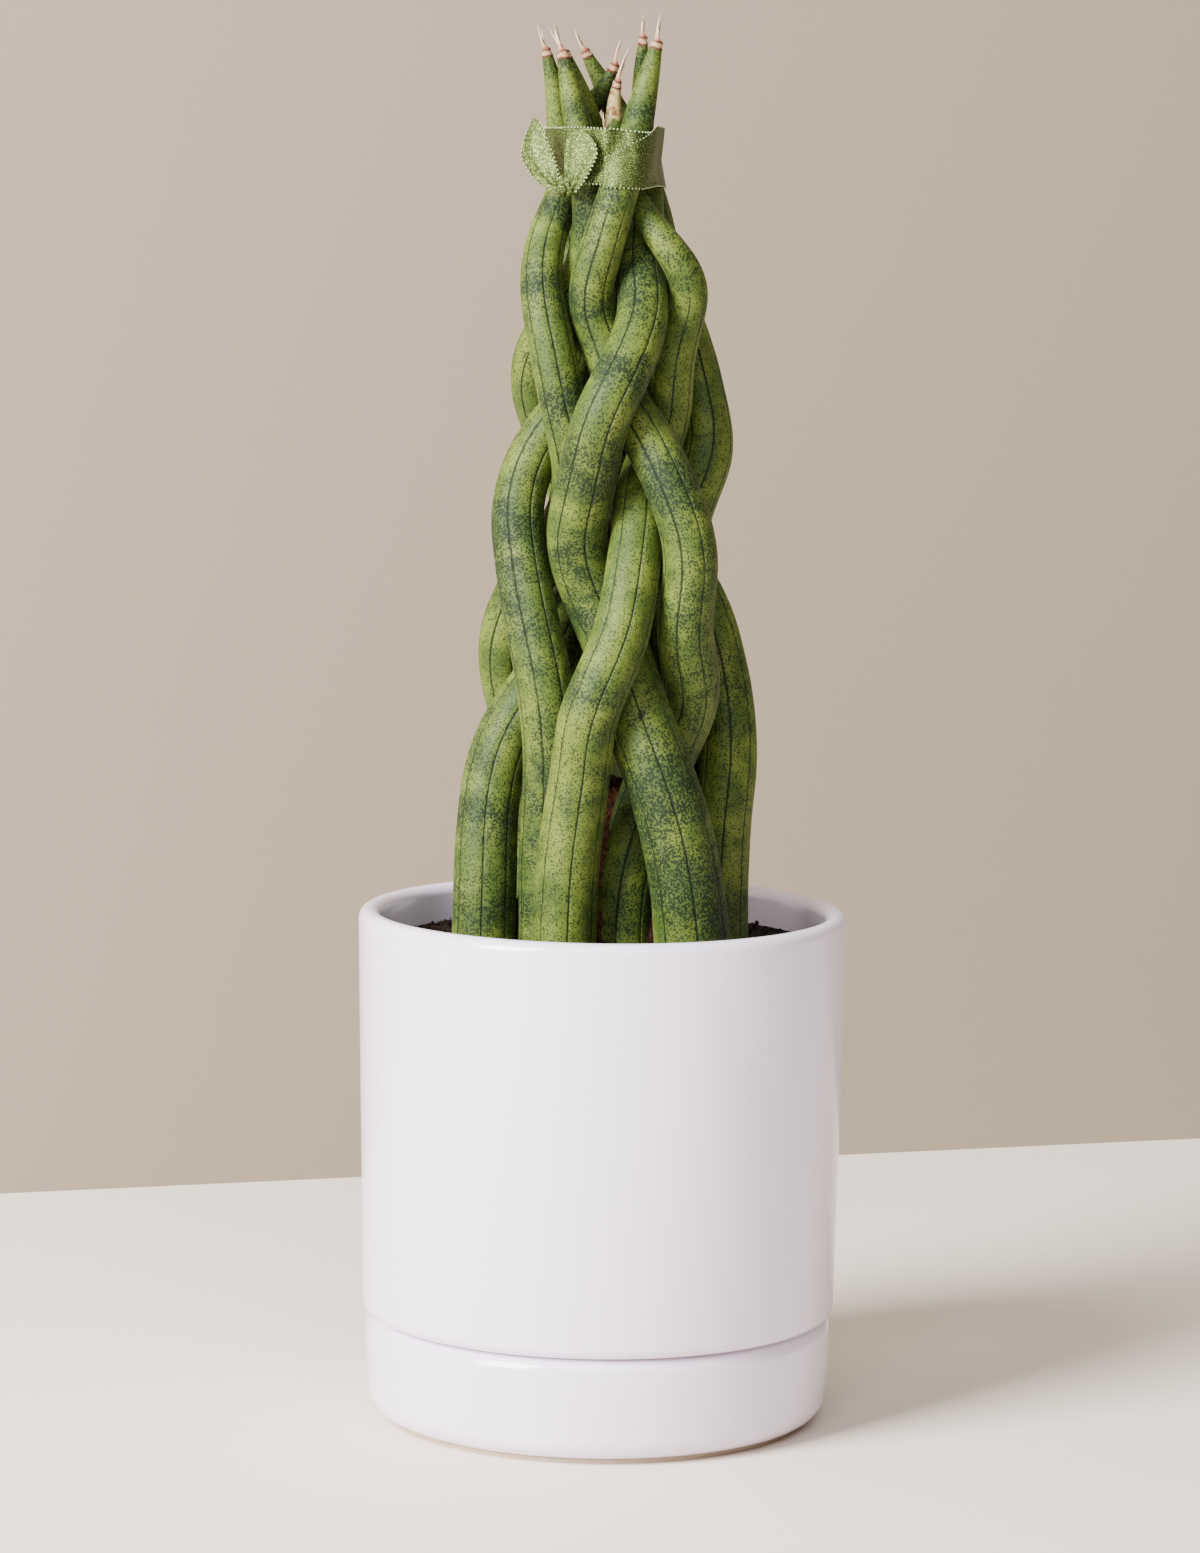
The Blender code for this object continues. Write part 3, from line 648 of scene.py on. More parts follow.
def groove_plan(dice, turn):
    """Where the columns of the sheet lie.

    A column by a groove has the groove's angle, its place in mm from there, 0 and the groove's strength.
    A column on a panel has the panel's first angle, no place, its share of the panel and the panel's
    angle."""
    jitter = dice.uniform(-GROOVE_JITTER, GROOVE_JITTER, GROOVES)
    starts = radians(turn) + 2 * pi * (np.arange(GROOVES) + jitter) / GROOVES
    depth = dice.uniform(0.7, 1.0, GROOVES)
    plan = []
    for k, (start, strength) in enumerate(zip(starts, depth)):
        end = starts[(k + 1) % GROOVES] + (2 * pi if k == GROOVES - 1 else 0)
        after = depth[(k + 1) % GROOVES]
        plan += [(start, offset, 0.0, strength) for offset in AROUND_GROOVE[3:]]
        shares = np.linspace(PANEL_MARGIN, 1 - PANEL_MARGIN, BETWEEN)
        plan += [(start, None, share, end - start) for share in shares]
        plan += [(end, offset, 0.0, after) for offset in AROUND_GROOVE[:3]]
    return plan

# %% [markdown]
# ## From the foot to the spike
#
# A leaf narrows all the way up and ends in two dry brown rings, above which a pale spike stands. Even
# steps would be too coarse for them, so the grid's rings lie closer together near the tip and on the
# spike.

# %% The rings of a leaf
LINE_POINTS = 900
LEAF_RINGS = 236
TIP_RINGS = 22
SPIKE_RINGS = 26
TIP_LENGTH = 5.0
SPIKE_POINTS = 60
SPIKE_BOW = 0.5
SPIKE_RADIUS = 0.34
SPIKE_FOOT = 0.85  # of the leaf's radius at the tip
SPIKE_NARROWS = 1.9
COLLAR_HEIGHT = 0.22
COLLARS = ((0.3, 0.45, 1.0), (2.3, 0.4, 0.8))  # each ring's distance below the tip, width and strength


def leaf_rings(name):
    """The rings of a leaf: how far along it each is, its middle and radius; then where the tip is."""
    fine = smooth_route(routes[name], LINE_POINTS)
    wide = np.interp(np.linspace(0, 1, LINE_POINTS), np.linspace(0, 1, ROUTE_POINTS), radii[name])
    spike_end = np.array(LEAVES[name][1][-1], float)
    lean = np.cross(spike_end - fine[-1], (0.3, 1.0, 0.2))
    lean /= np.linalg.norm(lean)
    share = np.linspace(0, 1, SPIKE_POINTS)[1:, None]
    spike = fine[-1] * (1 - share) + spike_end * share + lean * SPIKE_BOW * np.sin(pi * share)
    line = np.vstack([fine, spike])
    along = lengths_along(line)
    tip = along[len(fine) - 1]
    at = np.concatenate([
        np.linspace(0, tip - TIP_LENGTH, LEAF_RINGS), np.linspace(tip - TIP_LENGTH, tip, TIP_RINGS)[1:],
        np.linspace(tip, along[-1], SPIKE_RINGS)[1:]])
    left = np.clip((along[-1] - at) / (along[-1] - tip), 0, 1)
    narrowing = np.exp(-np.maximum(at - tip, 0) / SPIKE_NARROWS)
    spiked = (SPIKE_RADIUS + (wide[-1] * SPIKE_FOOT - SPIKE_RADIUS) * narrowing) * left**0.5
    widths = np.where(at > tip, spiked, np.interp(at, along[:len(fine)], wide))
    for below, width, strength in COLLARS:
        widths = widths + COLLAR_HEIGHT * strength * np.exp(-(((at - tip + below) / width) ** 2))
    return at, points_at(at, along, line), widths, tip, fine[-1], spike_end

# %% [markdown]
# ## Dark bands and dry skin
#
# The dark speckle crowds together in bands across a leaf. They are placed one by one, because even
# stripes would look painted. One leaf has begun to die back from its tip.

# %% How dark a leaf is, and how dry
TONES = {
    "front_left_leaf": -0.08, "front_right_leaf": 0.06, "front_middle_leaf": 0.08, "left_middle_leaf": 0.05,
    "left_front_leaf": 0.12, "left_back_leaf": -0.03, "right_front_leaf": -0.06, "right_back_leaf": -0.12,
    "right_middle_leaf": 0.0}
TONE_AT_SOIL = 0.10
TONE_FALL = 0.18  # a leaf is lighter by this much at its tip than at the soil
SOIL_AT = 180
TONE_SPAN = 320
BAND_SOFTNESS = 1.15
DARK_BANDS = {  # height of the middle, half its width (mm), and strength
    "front_left_leaf": [(437, 8, 0.4), (424, 7, 0.25), (275, 8, 0.22), (248, 6, 0.2)],
    "front_right_leaf": [
        (416, 10, 0.45), (386, 6, 0.4), (356, 8, 0.45), (324, 8, 0.3), (303, 8, 0.4), (239, 9, 0.75),
        (204, 12, 0.5), (505, 12, 0.3)],
    "front_middle_leaf": [(447, 6, 0.3), (412, 5, 0.35), (349, 8, 0.45), (305, 6, 0.2), (477, 6, 0.35)],
    "left_middle_leaf": [(444, 8, 0.4), (502, 7, 0.55), (226, 5, 0.35), (194, 6, 0.2), (476, 6, 0.25)],
    "left_front_leaf": [(326, 9, 0.55), (298, 5, 0.2), (243, 5, 0.35), (500, 10, 0.5)],
    "left_back_leaf": [(443, 7, 0.45), (417, 7, 0.45), (378, 6, 0.5), (497, 6, 0.25)],
    "right_front_leaf": [(268, 9, 0.2)],
    "right_back_leaf": [(505, 14, 0.6)],
    "right_middle_leaf": [(508, 12, 0.5)]}


def leaf_tone(name, height):
    """How dark a leaf is at a height in mm, with its bands."""
    bands = sum(
        strong * exp(-(((height - middle) / half / BAND_SOFTNESS) ** 2))
        for middle, half, strong in DARK_BANDS[name])
    return TONES[name] + TONE_AT_SOIL - TONE_FALL * (height - SOIL_AT) / TONE_SPAN + bands


DRIED_LEAF = "right_front_leaf"  # its tip has died back, more down one side
DRIED_SIDE = -1.25  # as an angle, in radians
DRIED_SPREAD = 0.5
DRIED_TOP = 14.0
DRIED_STRIPE = 27.0
DRIED_EDGE = 6


def dried_share(name, angle, below_tip):
    """How far the skin has died back here: only on one leaf, and further down on one side of it."""
    if name != DRIED_LEAF:
        return 0.0
    turn = abs((angle - DRIED_SIDE + pi) % (2 * pi) - pi)
    reach_down = DRIED_TOP + (DRIED_STRIPE - DRIED_TOP) * exp(-((turn / DRIED_SPREAD) ** 2))
    return max(0.0, min(1.0, (reach_down - below_tip) / DRIED_EDGE + 0.5))

# %% [markdown]
# ## Each leaf, corner by corner
#
# With the rings and the columns planned, each corner of the rolled sheet is put in its place, and the
# numbers that the skin reads are written on it at the same time.

# %% Strands that split off a spike
STRANDS = 2
STRAND_RADIUS = 0.30
STRAND_ROOT = 0.4
STRAND_SPREAD = 0.9


def add_strand(shape, dice, tip_place, spike_end):
    """Add a thin strand that has split off the dry spike, and return its corners."""
    way = spike_end - tip_place
    length = np.linalg.norm(way)
    way /= length
    side = dice.uniform(-1, 1, 3)
    reach = length * dice.uniform(0.6, 1.05)
    steps = np.linspace(0, 1, 12)[:, None]
    line = tip_place + way * (reach * steps - STRAND_ROOT) + side * STRAND_SPREAD * steps**1.6
    first = len(shape.verts)
    tube_along(shape, line, STRAND_RADIUS * (1 - steps[:, 0]) ** 0.6 + 0.02, 8)
    shape.verts.ensure_lookup_table()
    return shape.verts[first:]

# %% One leaf
def make_leaf(name, number):
    """One leaf, from its foot in the soil to the end of its dry spike."""
    dice = np.random.default_rng(40 + number)
    at, centres, widths, tip, tip_place, spike_end = leaf_rings(name)
    fronts, across = carried_frames(centres)
    shape = bmesh.new()
    straight = shape.verts.layers.float_vector.new("straight")
    layers = [shape.verts.layers.float.new(key) for key in LEAF_LAYERS]
    rings = rolled_sheet(shape, len(at) - 1, AROUND)
    plan = groove_plan(dice, TURNS[name])
    offset = Vector((61.0, 37.0, 83.0)) * number  # so that no two leaves share their marks
    for k, ring in enumerate(rings):
        radius = widths[k]
        below_tip = tip - at[k]
        squeeze = min(1.0, radius / FULL_RELIEF_RADIUS)
        fade = min(1.0, max(0.0, below_tip / GROOVE_FADE)) ** 2
        dark = leaf_tone(name, centres[k, 2])
        wave = noise.noise(offset + Vector((at[k] / 24, 0, 0))) * 0.014
        for corner, (start, place, share, strength) in zip(ring, plan):
            if place is None:
                angle = start + share * strength
                cut, crown = 0.0, PANEL_CROWN * sin(pi * share)
            else:
                angle = start + place * squeeze / max(radius, 0.4)
                cut = strength * exp(-((place / GROOVE_SPREAD) ** 2))
                crown = PANEL_CROWN * 0.3 * min(1.0, abs(place))
            swell = noise.noise(offset + Vector((cos(angle) * 1.4, sin(angle) * 1.4, at[k] / 11))) * 0.012
            reach = radius * (1 + wave + swell) + (crown - GROOVE_DEPTH * cut) * squeeze * fade
            corner.co = (centres[k] + reach * (cos(angle) * fronts[k] + sin(angle) * across[k])) * MM
            corner[straight] = Vector((radius * cos(angle), radius * sin(angle), at[k])) + offset
            marks = (below_tip, cut * min(1.0, fade * 2), dark, dried_share(name, angle, below_tip))
            for layer, mark in zip(layers, marks):
                corner[layer] = mark
    close_ends(shape, rings)
    for _ in range(STRANDS):
        for corner in add_strand(shape, dice, tip_place, spike_end):
            corner[straight] = corner.co / MM + offset
            corner[layers[0]] = -5.0  # past the tip, where the spike is pale
    finish_piece(name + "_skin", shape, leaf_skin, [name], ALL_SMOOTH)

# %% The nine leaves
for number, name in enumerate(LEAVES):
    make_leaf(name, number)

# %% [markdown]
# ## The soil
#
# The pot is filled with dark potting soil, and a heap of it is left inside the braid, where the young
# leaves were pushed in. Its surface is a turned section with crumbs of three sizes: large lumps and small
# ones are real relief, and the finest are in the bump. Loose crumbs lie on top, because the eye finds a
# displaced surface too smooth at its edge. The colour runs from near black, where it is wet, to the
# red-brown of dry coir on the heap.

# %% Soil material
PEAT_WET = (0.004, 0.0022, 0.0016)
PEAT = ((0.0035, 0.0018, 0.0013), (0.0145, 0.0060, 0.0038))
BARK_FIBRE = (0.045, 0.018, 0.010)
COIR = ((0.016, 0.0055, 0.0034), (0.105, 0.036, 0.019))
COIR_FROM = 178 * MM
COIR_FULL = 190 * MM


def make_earth():
    material, shader, start = new_material("soil", 0.95, Specular_IOR_Level=0.15)
    place = object_place(start)
    lump = place.noise(420.0, 3.0, 0.65)
    fibre = place.stretched(1.0, 1.0, 0.5).noise(900.0, 2.0)
    wet = place.noise(38.0, 2.0).rise(0.35, 0.68)
    height = place.node("SeparateXYZ", {}, {0: place}, 2)
    color = fibre.rise(0.60, 0.72).mix(lump.rise(0.35, 0.7).mix(*PEAT), BARK_FIBRE)
    color = height.rise(COIR_FROM, COIR_FULL).mix(color, lump.rise(0.3, 0.65).mix(*COIR))
    feed(shader, "Base Color", (wet * 0.45).mix(color, PEAT_WET))
    feed(shader, "Roughness", 0.95 - 0.25 * wet)
    emboss(shader, lump + 0.5 * fibre, 1.2 * MM)
    return material


earth = make_earth()

# %% The body of soil, with a heap inside the braid
SOIL_LEVEL = 175.5 * MM
SOIL_GAP = WALL + CLEARANCE
HEAP_HEIGHT = 63 * MM
HEAP_RADIUS = 31 * MM
HEAP_SHOULDER = HEAP_RADIUS * 0.97
HEAP_ROUNDNESS = 2.5
HEAP_APRON = 4.5 * MM
RELIEF = 2.2 * MM


def soil_height(radius):
    """The height of the soil's surface at a distance from the middle, before it is roughened."""
    inside = min(radius, HEAP_SHOULDER) / HEAP_RADIUS
    top = SOIL_LEVEL + HEAP_HEIGHT * (1 - inside**2) ** (1 / HEAP_ROUNDNESS)
    share = max(0.0, min(1.0, (radius - HEAP_SHOULDER) / HEAP_APRON))
    return top + (SOIL_LEVEL - top) * share


def roughened(point, amount):
    """How far a crumbly surface stands out at a point."""
    coarse = noise.noise(point / (7 * MM))
    small = noise.noise(point / (2.6 * MM) + Vector((9, 4, 1)))
    fine = abs(noise.noise(point / (1.3 * MM) + Vector((3, 8, 5))))
    return amount * (0.5 * coarse + 0.5 * small + 0.45 * fine)


SOIL_RIM = pot_outside(SOIL_LEVEL) - SOIL_GAP


def make_soil():
    floor = POT_BASE + WALL + CLEARANCE
    heap = np.linspace(0, HEAP_SHOULDER, 40)
    inner = np.concatenate([heap, np.linspace(HEAP_SHOULDER, SOIL_RIM, 46)[1:]])
    profile = [(radius, soil_height(radius)) for radius in inner]
    bend = pot_outside(floor) - SOIL_GAP - INNER_CORNER
    profile += rounding(bend, floor + INNER_CORNER, INNER_CORNER, 0, -0.25)
    profile.append((0, floor))
    shape = turned(profile)
    for corner in shape.verts:
        radius = hypot(corner.co.x, corner.co.y)
        if corner.co.z > SOIL_LEVEL - 1 * MM:
            amount = RELIEF * min(1.0, (SOIL_RIM - radius) / (3 * MM) + 0.15)
            out = Vector((corner.co.x, corner.co.y, 0)) / max(radius, 1 * MM)
            steep = 0.7 if 12 * MM < radius < HEAP_RADIUS * 1.1 else 0.0
            corner.co += (out * steep + Vector((0, 0, 1))) * roughened(corner.co.copy(), amount)
    finish_piece("soil_surface", shape, earth, ["soil"], 60)


make_soil()

# %% Loose crumbs on the soil
CRUMBS = 2600
SMALLEST_CRUMB = 0.35
CRUMB_RARITY = 3.5  # how much rarer the large ones are


def make_crumbs():
    dice = np.random.default_rng(7)
    shape = bmesh.new()
    for _ in range(CRUMBS):
        around = dice.uniform(0, 2 * pi)
        radius = (SOIL_RIM - 1.5 * MM) * dice.uniform(0.04, 1) ** 0.5
        size = MM * (SMALLEST_CRUMB + dice.random() ** CRUMB_RARITY)
        place = Vector((radius * cos(around), radius * sin(around), soil_height(radius)))
        place.z += roughened(place, RELIEF) + size * 0.3
        turn = Euler(dice.uniform(0, 2 * pi, 3)).to_matrix().to_4x4()
        form = Matrix.Diagonal((*dice.uniform(0.6, 1.25, 3), 1.0))
        at = Matrix.Translation(place) @ turn @ form
        bmesh.ops.create_icosphere(shape, subdivisions=1, radius=size, matrix=at)
    finish_piece("soil_crumbs", shape, earth, (), 20)


make_crumbs()

# %% [markdown]
# ## Satin ribbon
#
# The braid is tied with olive-green satin ribbon about 22 mm wide, with a row of tiny woven loops, called
# picots, along both edges. Satin shines along its long floating threads, so its finish is partly
# metallic, broken up by a fine weave and by small glints, which are painted highlights in its colour.
# The pattern reads `cloth`, each corner's place on the flat ribbon in millimetres, so the weave and the
# painted glints follow the folds.

# %% Satin material
SATIN = (0.070, 0.098, 0.020)
SATIN_DEEP = (0.022, 0.034, 0.006)
# painted highlight: the colour of the small bright glints, standing in for light caught by the threads
SATIN_PAINTED_GLINT = (0.32, 0.42, 0.14)
THREAD = ((0.20, 0.26, 0.11), (0.40, 0.49, 0.25))


def make_satin():
    material, shader, start = new_material("satin", 0.45, Metallic=0.6, Specular_IOR_Level=0.25)
    cloth = attribute(start, "cloth", 1)
    weave = cloth.stretched(1.7, 1.1, 1.0).noise(1.0, 2.0, 0.7)
    # painted highlight: specks where the satin's colour is lifted to look like glints of light
    painted_glint = cloth.noise(1.7, 1.0)
    soft = cloth.noise(0.16, 2.0)
    color = weave.rise(0.35, 0.65).mix(SATIN_DEEP, SATIN)
    color = (soft.rise(0.35, 0.7) * 0.45).mix(color, SATIN_DEEP)
    feed(shader, "Base Color", (painted_glint.rise(0.55, 0.65) * 0.6).mix(color, SATIN_PAINTED_GLINT))
    feed(shader, "Roughness", 0.42 + 0.16 * weave)
    emboss(shader, weave + 0.5 * painted_glint, 0.15 * MM)
    return material


satin = make_satin()


def make_picot_thread():
    material, shader, start = new_material("picot thread", 0.45)
    place = object_place(start)
    twist = place.noise(2600.0, 2.0)
    feed(shader, "Base Color", twist.mix(*THREAD))
    emboss(shader, twist, 0.08 * MM)
    return material


picot_thread = make_picot_thread()

# %% [markdown]
# ## The ribbon's turn round the leaves
#
# Pulled tight, a ribbon takes the shortest way round: it bridges the hollows between the leaves. That is
# the convex hull of the leaves' sections, found here from the settled routes. At each height it falls in
# by the slack between that line and the leaves there. Soft ridges fan out from the knot, where pulling
# gathered it. A second layer lies over the first on the right, with its upper edge slanting to a corner.

# %% The line that the ribbon takes
BAND_LOW = 453.6
BAND_HIGH = 475.0
BAND_GAP = 0.4
BAND_LEVELS = np.linspace(BAND_LOW, BAND_HIGH, 5)
RIBBON_WIDTH = 22
RIBBON_THICKNESS = 0.24
KNOT = Vector((-17.0, -24.4, 453.8))
DOTS_ROUND = 48
LINE_STEPS = 720


def leaf_dots(height):
    """Points round every leaf's section at a height, as the ribbon meets them, in mm."""
    dots = []
    for name, route in routes.items():
        if height <= route[-1, 2]:
            rows = (route[:, 0], route[:, 1], radii[name] + BAND_GAP)
            x, y, reach = (np.interp(height, route[:, 2], row) for row in rows)
            turns = [2 * pi * k / DOTS_ROUND for k in range(DOTS_ROUND)]
            dots += [(x + reach * cos(turn), y + reach * sin(turn)) for turn in turns]
    return np.array(dots)


def smoothed(row, width):
    """A row that runs round, averaged over this many neighbours."""
    weights = np.hanning(width) / np.hanning(width).sum()
    return np.convolve(np.pad(row, width // 2, "wrap"), weights, "valid")


def band_line():
    """The tight line round the leaves, in mm: its points, outward directions, length and slack.

    The slack is how far the leaves fall short of that line, at each level."""
    levels = [leaf_dots(height) for height in BAND_LEVELS]
    dots = np.vstack(levels)
    hull = dots[convex_hull_2d([tuple(dot) for dot in dots])]
    loop = np.vstack([hull, hull[:1]])
    if (loop[:-1, 0] * loop[1:, 1] - loop[1:, 0] * loop[:-1, 1]).sum() < 0:
        loop = loop[::-1]
    along = lengths_along(loop)
    line = points_at(np.linspace(0, along[-1], LINE_STEPS + 1)[:-1], along, loop)
    nearest = np.linalg.norm(line - np.array(KNOT)[:2], axis=1).argmin()
    line = np.roll(line, -nearest, axis=0)
    line = np.stack([smoothed(line[:, k], 27) for k in range(2)], axis=1)
    run = np.roll(line, -1, axis=0) - np.roll(line, 1, axis=0)
    out = np.stack([run[:, 1], -run[:, 0]], axis=1)
    out /= np.linalg.norm(out, axis=1)[:, None]
    slack = [(line * out).sum(1) - (out @ level.T).max(1) for level in levels]
    slack = [smoothed(np.minimum(row, smoothed(row, 121)), 15) for row in slack]
    return line, out, along[-1], np.array(slack)


line, outwards, girth_round, slacks = band_line()
print(f"the ribbon's turn is {girth_round:.1f} mm round, with slack up to {slacks.max():.1f} mm")


def right_of_knot(along):
    """How far a place on the turn is to the right of the knot; to its left it is below 0."""
    return (along + girth_round / 2) % girth_round - girth_round / 2


def on_line(along, out, height):
    """The place that lies this far along the turn from the knot and this far out, in mm."""
    spot = (along / girth_round * len(line)) % len(line)
    first = int(spot)
    second = (first + 1) % len(line)
    part = spot - first
    place = line[first] * (1 - part) + line[second] * part
    way = outwards[first] * (1 - part) + outwards[second] * part
    fall = np.interp(height, BAND_LEVELS, slacks[:, first])
    return place + way * (out - max(0.0, fall))

# %% Folds that fan out from the knot
FOLDS = (  # each ridge's angle from the knot, in degrees, and height
    (8, 0.8), (19, 1.1), (31, 0.7), (44, 1.1), (60, 0.8), (80, 1.0), (104, 0.8), (128, 1.1), (152, 0.8))
RIDGE_WIDTH = 5.5
RIDGE_HEIGHT = 1.3
RIDGES_DIE = 15


def fold(along, height):
    """How far the ribbon stands out here, in mm, for the ridges that run away from the knot."""
    right = right_of_knot(along)
    up = height - KNOT.z
    reach = hypot(right, up)
    angle = atan2(up, right) * 180 / pi
    ridge = sum(tall * exp(-(((angle - lean) / RIDGE_WIDTH) ** 2)) for lean, tall in FOLDS)
    fade = exp(-reach / RIDGES_DIE) * min(1.0, reach / 4)
    slow = 0.28 * noise.noise(Vector((along / 9, height / 12, 3.1))) + 0.12
    return 0.15 + RIDGE_HEIGHT * ridge * fade + slow

# %% A stretch of ribbon
def thicken(piece, side):
    """Give a piece of ribbon its thickness, outwards from its face with 1 and to both sides with 0."""
    body = piece.modifiers.new("thickness", "SOLIDIFY")
    body.thickness = RIBBON_THICKNESS * MM
    body.offset = side


def strip(name, start, end, columns, rows, edges, out):
    """A stretch of ribbon round the leaves between two edges, which give a height at each place."""
    shape = bmesh.new()
    cloth = shape.verts.layers.float_vector.new("cloth")
    for corner, across, share in flat_grid(shape, rows, columns):
        along = start + (end - start) * across
        low, high = edges(along)
        height = low + (high - low) * share
        x, y = on_line(along, out(along, height), height)
        corner[cloth] = Vector((along, share * RIBBON_WIDTH, 0))
        corner.co = Vector((x, y, height)) * MM
    bmesh.ops.remove_doubles(shape, verts=shape.verts, dist=WELD)
    piece = finish_piece(name, shape, satin, (), ALL_SMOOTH)
    thicken(piece, 1)
    return piece

# %% Picots, the tiny loops along an edge
def picots(name, places, size=0.4, pitch=1.6):
    """A row of tiny loops, as beads at an even pitch along each run of places, in mm."""
    shape = bmesh.new()
    for run in places:
        run = np.array(run)
        along = lengths_along(run)
        for bead in points_at(np.arange(pitch / 2, along[-1], pitch), along, run):
            at = Matrix.Translation(Vector(bead) * MM)
            bmesh.ops.create_icosphere(shape, subdivisions=1, radius=size * MM, matrix=at)
    return finish_piece(name, shape, picot_thread, (), ALL_SMOOTH)

# %% The edges of the turn and of its second layer
FIRST_LOW = BAND_LOW + 0.5
FIRST_HIGH = BAND_HIGH - 0.9
FIRST_SLANT = 1.4  # the upper edge comes down by this much
SLANT_RUN = 32.0
GATHER = 0.9  # and the lower one is drawn up by this much at the knot
GATHER_WIDTH = 5.0
SECOND_START = 14.0
SECOND_CORNER = 41.0
SECOND_END = 96.0
SECOND_LOW = 453.4
SECOND_HIGH = 463.5
SECOND_CLIMB = 11.6
SECOND_FALL = 0.06
SECOND_LIFT = 0.3


def first_edges(along):
    """The first layer's lower and upper edge."""
    right = right_of_knot(along)
    low = FIRST_LOW + 0.3 * sin(along / 7) + GATHER * exp(-((right / GATHER_WIDTH) ** 2))
    slant = FIRST_SLANT * max(0.0, min(1.0, right / SLANT_RUN))
    return low, FIRST_HIGH - slant + 0.25 * sin(along / 9)


def second_edges(along):
    """The second layer's edges: its upper edge climbs to a corner at the right."""
    climb = max(0.0, min(1.0, (along - SECOND_START) / (SECOND_CORNER - SECOND_START)))
    high = SECOND_HIGH + SECOND_CLIMB * climb - SECOND_FALL * max(0.0, along - SECOND_CORNER)
    sag = 0.4 * exp(-(((along - SECOND_START - 2) / 6) ** 2))
    return SECOND_LOW + 0.5 * sin(along / 6) - sag, high


def second_out(along, height):
    """How far the second layer stands out: over the first, and a little more along its upper edge."""
    rise = 0.15 * min(1.0, (along - SECOND_START) / 4 + 0.25)
    upper = 0.12 * exp(-(((height - second_edges(along)[1]) / 1.5) ** 2))
    return fold(along, height) + SECOND_LIFT + rise + upper

# %% The turn, its second layer and their picots
band = strip("ribbon_turn", 0, girth_round, 420, 30, first_edges, fold)
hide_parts("ribbon_band")
second = strip("ribbon_second_layer", SECOND_START, SECOND_END, 240, 28, second_edges, second_out)


def edge_run(start, end, edges, which, out, raise_by):
    """Places along one edge of a strip, a little outside it."""
    run = []
    for along in np.linspace(start, end, 200):
        height = edges(along)[which]
        x, y = on_line(along, out(along, height) + 0.2, height)
        run.append((x, y, height + raise_by))
    return run


band_picots = picots("ribbon_turn_picots", [
    edge_run(-24, girth_round - 26, first_edges, 1, fold, 0.15),
    edge_run(4, girth_round - 4, first_edges, 0, fold, -0.15)])
second_picots = picots("ribbon_second_picots", [
    edge_run(SECOND_START, SECOND_END, second_edges, which, second_out, raise_by)
    for which, raise_by in ((1, 0.1), (0, -0.1))], 0.3)

# %% [markdown]
# ## The two free ends
#
# Each end leaves the knot gathered, opens like a small leaf, and bulges towards the viewer because satin
# is springy. An end is a grid stretched between its two long edges, then pushed out by an arch that is
# highest in the middle and by pleats that die away from the knot.

# %% The outlines of the free ends
TAIL_LEFT = (
    [(-20.6, -24.2, 451.6), (-24.2, -23.0, 452.8), (-27.8, -20.8, 455.4), (-31.2, -18.4, 459.6),
     (-33.0, -17.0, 464.0), (-32.6, -16.2, 468.4), (-31.2, -15.6, 472.4), (-29.3, -15.4, 475.8)],
    [(-19.0, -26.6, 455.4), (-19.8, -25.6, 458.2), (-20.6, -24.6, 461.2), (-21.8, -23.4, 464.4),
     (-23.0, -22.2, 467.2), (-24.4, -21.0, 470.8), (-25.6, -19.6, 473.8), (-26.7, -18.2, 475.9)])
TAIL_RIGHT = (
    [(-17.0, -26.7, 455.0), (-17.4, -26.0, 458.0), (-17.7, -25.4, 461.4), (-17.8, -25.0, 465.0),
     (-17.4, -24.9, 468.6), (-16.2, -25.2, 471.6), (-13.6, -26.2, 473.4)],
    [(-13.8, -28.4, 451.0), (-11.6, -29.4, 453.6), (-9.8, -30.4, 456.2), (-8.2, -31.2, 459.2),
     (-6.9, -32.0, 462.2), (-6.0, -32.8, 465.0), (-6.6, -32.4, 468.2)])

# %% A free end
TAIL_ROWS = 46
TAIL_COLUMNS = 26
PLEAT_HEIGHT = 0.75
PLEATS_DIE = 0.22  # as a share of the end's length
TAIL_POINT = 1.6  # the end runs out to a point of this many mm
TAIL_CLOTH = (26, 16)  # mm of cloth along and across an end
TAIL_RIPPLE = 0.25


def make_tail(name, edges, bulge, pleats, solid, looped):
    """A free end between two long edges. Its picots run along both of them, or from `looped` on."""
    left, right = (smooth_route(edge, TAIL_ROWS + 1) for edge in edges)
    shape = bmesh.new()
    cloth = shape.verts.layers.float_vector.new("cloth")
    run = (left[-1] + right[-1]) / 2 - (left[0] + right[0]) / 2
    for corner, share, up in flat_grid(shape, TAIL_ROWS, TAIL_COLUMNS):
        row = round(up * TAIL_ROWS)
        far = row / TAIL_ROWS
        across = right[row] - left[row]
        face = np.cross(across, run)
        face /= np.linalg.norm(face)
        face *= -1 if face[1] > 0 else 1
        arch = bulge * sin(pi * share) * sin(pi * min(1.0, far * 0.85 + 0.1))
        pleat = PLEAT_HEIGHT * exp(-far / PLEATS_DIE) * (cos(2 * pi * pleats * share) - 0.2)
        ripple = TAIL_RIPPLE * noise.noise(Vector((share * 3, far * 4, bulge * 7)))
        tip = TAIL_POINT * far**4 * (1 - (2 * share - 1) ** 2)
        place = left[row] + across * share + face * (arch + pleat + ripple) + run / np.linalg.norm(run) * tip
        corner[cloth] = Vector((far * TAIL_CLOTH[0], share * TAIL_CLOTH[1], 5))
        corner.co = Vector(place) * MM
    piece = finish_piece(name, shape, satin, [solid], ALL_SMOOTH)
    thicken(piece, 0)
    runs = [[place + np.array((0, -0.25, 0)) for place in edge] for edge in (left, right)[looped:]]
    beads = picots(name + "_picots", runs)

# %% The knot
KNOT_SIZE = Vector((4.7, 3.3, 3.9))
KNOT_CREASES = 3.5
KNOT_WAIST = 0.20


